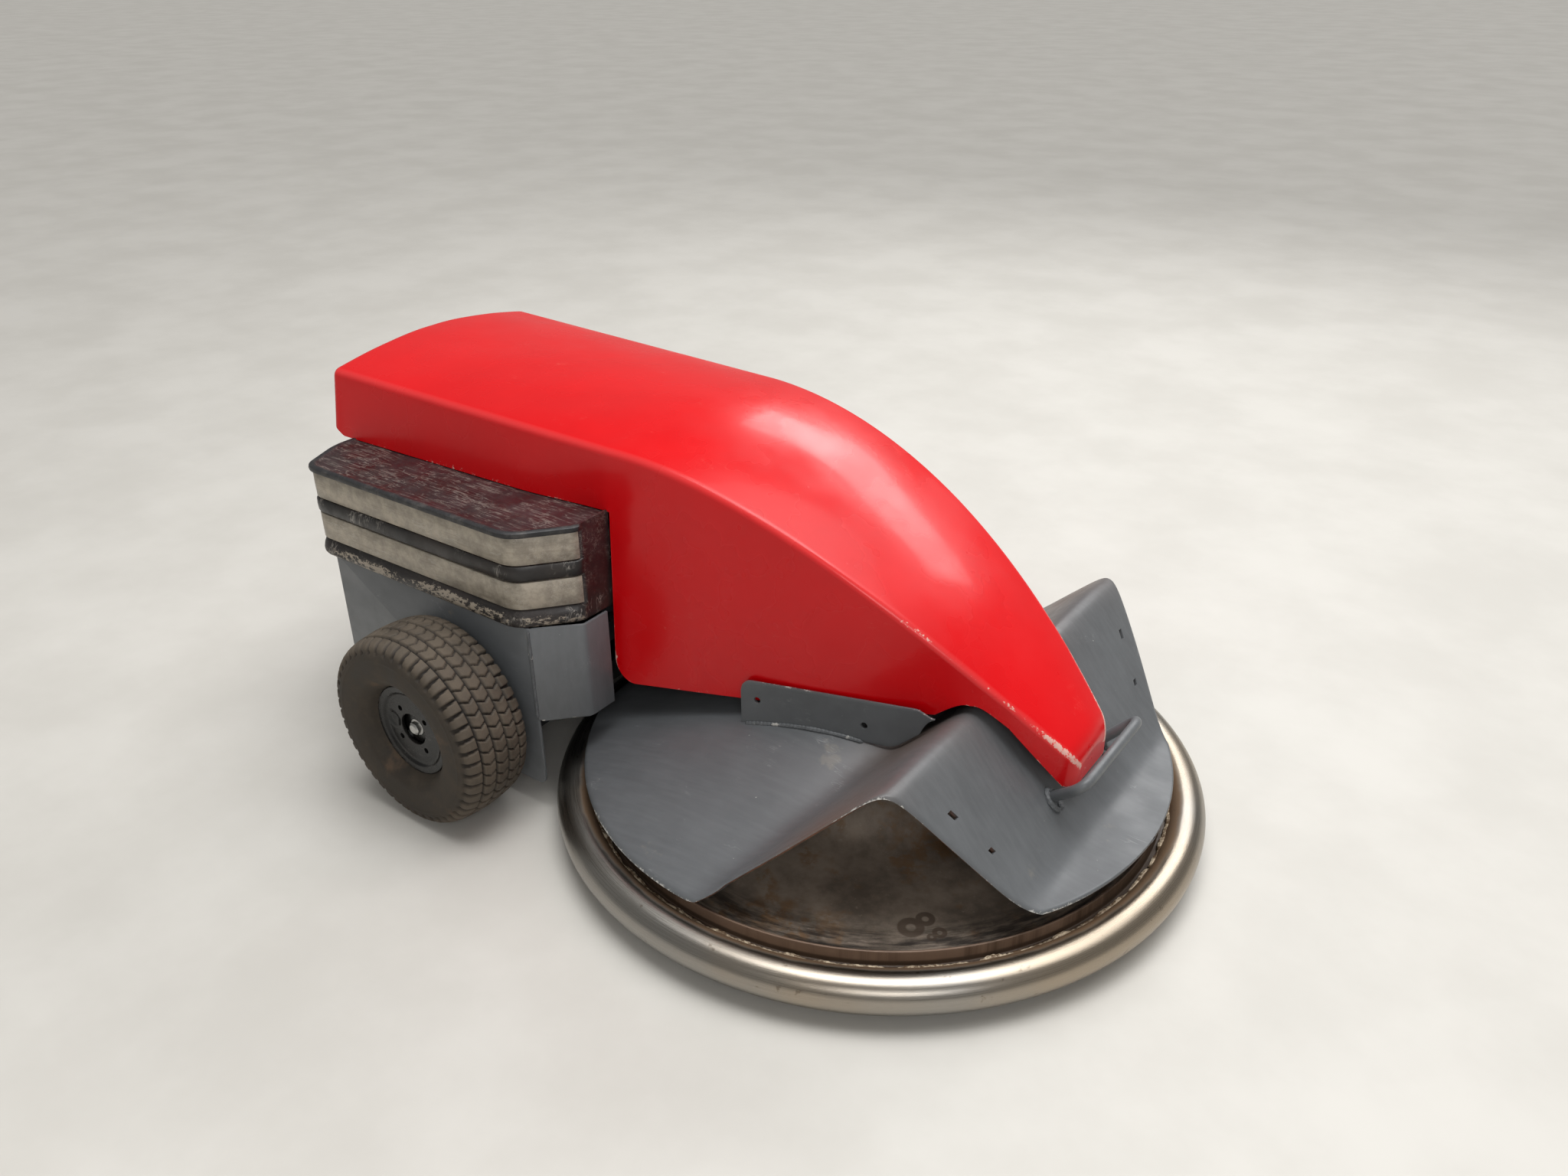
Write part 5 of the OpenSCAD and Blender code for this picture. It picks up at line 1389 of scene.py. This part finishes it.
def chassis_pieces():
    """Chassis sides: flat plates with rounded lower corners and the folded front plates, with
    weld beads down the fold; edges are bevelled."""
    x0, x1 = SIDE_LOW[0], SIDE_HIGH[0]
    z0, z1 = SIDE_LOW[2], SIDE_HIGH[2]
    y1 = SIDE_HIGH[1]
    outline = loop_closed([[x0, z0], [x1, z0], [x1, z1], [x0, z1]], [6, 16, 1, 1], 7)
    inner = y1 - 52
    t = SHEET_T
    fold_x = FRONT_HIGH[0]
    fold = loop_closed([
        [x1 + 0.01, y1], [fold_x, inner], [fold_x, inner - 44], [fold_x - t, inner - 44],
        [fold_x - t, inner - 1.7], [x1 + 0.01, y1 - t * 1.4]], [2, 5, 1, 1, 3, 1], 5)
    for side, name in SIDES:
        plate = slab(outline, lambda p, d: np.stack([p[:, 0], side * (y1 - d) + 0 * p[:, 0], p[:, 1]], -1), t)
        # Painted light: the chassis sides get a copy of the guard's grey made 1.25 times lighter, with more
        # rubbed tint; the front and rear plates share that copy.
        build(f"side_plate_{name}_skin", [plate], grey_paint("Grey chassis paint with painted light", 1.25, 0.2), "frame",
              "grey_paint", [f"side_plate_{name}"], bevel=0.0009)
        stand = lambda p, d: np.stack([p[:, 0], side * p[:, 1], FRONT_LOW[2] + d + 0 * p[:, 0]], -1)
        front = slab(fold, stand, FRONT_HIGH[2] - FRONT_LOW[2])
        build(f"front_plate_{name}_skin", [front], grey_paint("Grey chassis paint with painted light"), "frame", "grey_paint",
              [f"front_plate_{name}"], bevel=0.0009)
        line = np.array([[x1 - 0.5, side * (y1 + 0.3), FRONT_LOW[2] + 2],
                         [x1 - 0.5, side * (y1 + 0.3), z1 - 2]])
        under = np.array([[x1 + 1, side * (y1 - 3), FRONT_LOW[2] - 0.6],
                          [fold_x - 2, side * (inner - 2), FRONT_LOW[2] - 0.6]])
        build(f"fold_weld_{name}", [weld(line, 2.0, (1, 0, 0))], painted_weld(), "frame", "grey_paint")
        build(f"foot_weld_{name}", [weld(under, 1.6)], painted_weld(), "frame", "grey_paint")


NODE_FINISHES = {
    "frame": ["floor_pan", "rail_left", "rail_right", "cross_tubes", "battery_tray", "guard_posts",
              "bearing_plate", "disc_hub"],
    "battery": ["battery_left", "battery_right"],
    "zinc": ["battery_strap", "disc_bolts", "caster_fork"],
    "case": ["control_box", "control_lid"],
    "cast": ["gearbox_left", "gearbox_right", "caster_wheel"],
    "motor": ["drive_motor_left", "drive_motor_right", "disc_motor"],
    "machined": ["shaft_left", "shaft_right", "spindle", "bearing_upper", "bearing_lower", "caster_axle"],
    "gear": ["disc_gear", "pinion"],
    "caster": ["caster_tyre"],
    "red": ["hood_ribs"],
}


def dress(node_name, material):
    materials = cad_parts[node_name].data.materials
    materials.clear()
    materials.append(material)


def dress_nodes():
    made = inner_finishes()
    for finish_name, names in NODE_FINISHES.items():
        for name in names:
            dress(name, made[finish_name])
    for name in ("hub_left", "hub_right"):
        dress(name, black_rim())
    dress("rear_plate", grey_paint("Grey chassis paint with painted light"))


# ---------------------------------------------------------------- stage
CAMERA_AT = (AXIS_X * MM + 0.7316, -1.2451, 1.1002)
CAMERA_PITCH, CAMERA_TURN, CAMERA_ROLL = math.radians(28.14), math.radians(35.58), math.radians(-0.44)


def make_camera():
    camera = bpy.data.objects.new("view_camera", bpy.data.cameras.new("view_camera"))
    bpy.context.scene.collection.objects.link(camera)
    camera.data.sensor_width = 36.0
    camera.data.lens = 28.49
    camera.data.clip_start, camera.data.clip_end = 0.05, 60
    back = Vector((math.sin(CAMERA_TURN) * math.cos(CAMERA_PITCH),
                   -math.cos(CAMERA_TURN) * math.cos(CAMERA_PITCH),
                   math.sin(CAMERA_PITCH)))
    right = (-back).cross(Vector((0, 0, 1))).normalized()
    up = right.cross(-back)
    c, s = math.cos(CAMERA_ROLL), math.sin(CAMERA_ROLL)
    turned = Matrix((c * right + s * up, c * up - s * right, back)).transposed()
    camera.matrix_world = Matrix.Translation(CAMERA_AT) @ turned.to_4x4()
    bpy.context.scene.camera = camera


def area_light(name, place, aim, size, power, colour=(1, 1, 1)):
    light = bpy.data.lights.new(name, "AREA")
    light.shape, light.size, light.size_y = "RECTANGLE", size[0], size[1]
    light.energy, light.color = power, colour
    lamp = bpy.data.objects.new(name, light)
    bpy.context.scene.collection.objects.link(lamp)
    lamp.location = place
    lamp.rotation_euler = (Vector(aim) - Vector(place)).to_track_quat("-Z", "Y").to_euler()


def make_stage():
    """Pale floor, soft lights over and behind the machine, and an even pale surround."""
    side = np.linspace(-25, 25, 41)
    gx, gy = np.meshgrid(side, side, indexing="ij")
    mesh = bpy.data.meshes.new("studio_floor")
    flat = surface(np.stack([gx, gy, 0 * gx], -1), outward=(0, 0, 1))
    mesh.from_pydata(flat["points"].tolist(), [], flat["faces"])
    floor = bpy.data.objects.new("studio_floor", mesh)
    bpy.context.scene.collection.objects.link(floor)

    def fill(tree):
        value = noise(tree, object_place(tree), 3.0, 5.0, 0.6)
        colour = blend(tree, step(tree, value, 0.3, 0.7), (0.56, 0.54, 0.5), (0.62, 0.6, 0.56))
        return {"Base Color": colour, "Roughness": 0.6}
    mesh.materials.append(finish("Pale floor", fill))
    world = bpy.data.worlds.new("Pale surround")
    world.use_nodes = True
    world.node_tree.nodes["Background"].inputs[0].default_value = (0.78, 0.77, 0.74, 1)
    world.node_tree.nodes["Background"].inputs[1].default_value = 0.34
    bpy.context.scene.world = world
    sun = bpy.data.lights.new("high_light", "SUN")
    sun.energy, sun.angle = 1.7, math.radians(50)
    lamp = bpy.data.objects.new("high_light", sun)
    bpy.context.scene.collection.objects.link(lamp)
    lamp.rotation_euler = (math.radians(-14), math.radians(8), 0)
    area_light("top_light", (0.3, -0.3, 3.0), (0, 0, 0), (2.0, 1.2), 36)
    area_light("rear_light", (0.0, 2.9, 2.5), (0, 0, 0.4), (3.0, 0.7), 52)
    area_light("front_light", (2.2, -2.6, 2.2), (0, 0, 0.2), (1.6, 1.0), 26)
    bpy.context.scene.view_settings.view_transform = "Standard"


# ---------------------------------------------------------------- add-on
class SWEEPER_OT_stage(bpy.types.Operator):
    """Make the camera, floor and lights"""
    bl_idname = "sweeper.stage"
    bl_label = "Stage"

    def execute(self, context):
        make_camera()
        make_stage()
        return {"FINISHED"}


class SWEEPER_OT_hood(bpy.types.Operator):
    """Make the folded hood skin"""
    bl_idname = "sweeper.hood"
    bl_label = "Hood"

    def execute(self, context):
        hood_piece()
        return {"FINISHED"}


class SWEEPER_OT_guard(bpy.types.Operator):
    """Make the guard sheet over the disc"""
    bl_idname = "sweeper.guard"
    bl_label = "Guard sheet"

    def execute(self, context):
        guard_piece()
        return {"FINISHED"}


class SWEEPER_OT_flanges(bpy.types.Operator):
    """Make the two upright flanges and their welds"""
    bl_idname = "sweeper.flanges"
    bl_label = "Flanges"

    def execute(self, context):
        flange_pieces()
        return {"FINISHED"}


class SWEEPER_OT_bar(bpy.types.Operator):
    """Make the round bar before the nose"""
    bl_idname = "sweeper.bar"
    bl_label = "Nose bar"

    def execute(self, context):
        bar_piece()
        return {"FINISHED"}


class SWEEPER_OT_ring(bpy.types.Operator):
    """Make the ring and its weld bead"""
    bl_idname = "sweeper.ring"
    bl_label = "Ring"

    def execute(self, context):
        ring_piece()
        return {"FINISHED"}


class SWEEPER_OT_disc(bpy.types.Operator):
    """Make the dished disc"""
    bl_idname = "sweeper.disc"
    bl_label = "Disc"

    def execute(self, context):
        disc_piece()
        return {"FINISHED"}


class SWEEPER_OT_tyres(bpy.types.Operator):
    """Make the two block-tread tyres"""
    bl_idname = "sweeper.tyres"
    bl_label = "Tyres"

    def execute(self, context):
        tyre_pieces()
        return {"FINISHED"}


class SWEEPER_OT_rims(bpy.types.Operator):
    """Make the rims and the hub bolts"""
    bl_idname = "sweeper.rims"
    bl_label = "Rims"

    def execute(self, context):
        rim_pieces()
        return {"FINISHED"}


class SWEEPER_OT_side_boxes(bpy.types.Operator):
    """Make the side boxes and their rubbing strips"""
    bl_idname = "sweeper.side_boxes"
    bl_label = "Side boxes"

    def execute(self, context):
        side_box_pieces()
        return {"FINISHED"}


class SWEEPER_OT_chassis(bpy.types.Operator):
    """Make the chassis plates and their welds"""
    bl_idname = "sweeper.chassis"
    bl_label = "Chassis"

    def execute(self, context):
        chassis_pieces()
        return {"FINISHED"}


class SWEEPER_OT_inside(bpy.types.Operator):
    """Give the inner parts their finishes"""
    bl_idname = "sweeper.inside"
    bl_label = "Inner finishes"

    def execute(self, context):
        dress_nodes()
        return {"FINISHED"}


OPERATORS = (
    SWEEPER_OT_stage, SWEEPER_OT_hood, SWEEPER_OT_guard, SWEEPER_OT_flanges, SWEEPER_OT_bar, SWEEPER_OT_ring,
    SWEEPER_OT_disc, SWEEPER_OT_tyres, SWEEPER_OT_rims, SWEEPER_OT_side_boxes, SWEEPER_OT_chassis,
    SWEEPER_OT_inside,
)


class SWEEPER_PT_build(bpy.types.Panel):
    """Lists the sweeper's sizes, colours and pieces"""
    bl_label = "Floor sweeper"
    bl_space_type = "VIEW_3D"
    bl_region_type = "UI"
    bl_category = "Sweeper"

    def draw(self, context):
        for name, kind in SETTINGS.items():
            column = self.layout.column(align=True)
            for fact in kind.__annotations__:
                column.prop(getattr(context.scene, name), fact)
        for kind in OPERATORS:
            self.layout.operator(kind.bl_idname)


def register():
    for kind in (*SETTINGS.values(), *OPERATORS, SWEEPER_PT_build):
        bpy.utils.register_class(kind)
    for name, kind in SETTINGS.items():
        setattr(bpy.types.Scene, name, bpy.props.PointerProperty(type=kind))


def unregister():
    for name in SETTINGS:
        delattr(bpy.types.Scene, name)
    for kind in reversed((*SETTINGS.values(), *OPERATORS, SWEEPER_PT_build)):
        bpy.utils.unregister_class(kind)


def main():
    register()
    for kind in OPERATORS:
        group_name, call = kind.bl_idname.split(".")
        getattr(getattr(bpy.ops, group_name), call)()


if __name__ == "__main__":
    main()
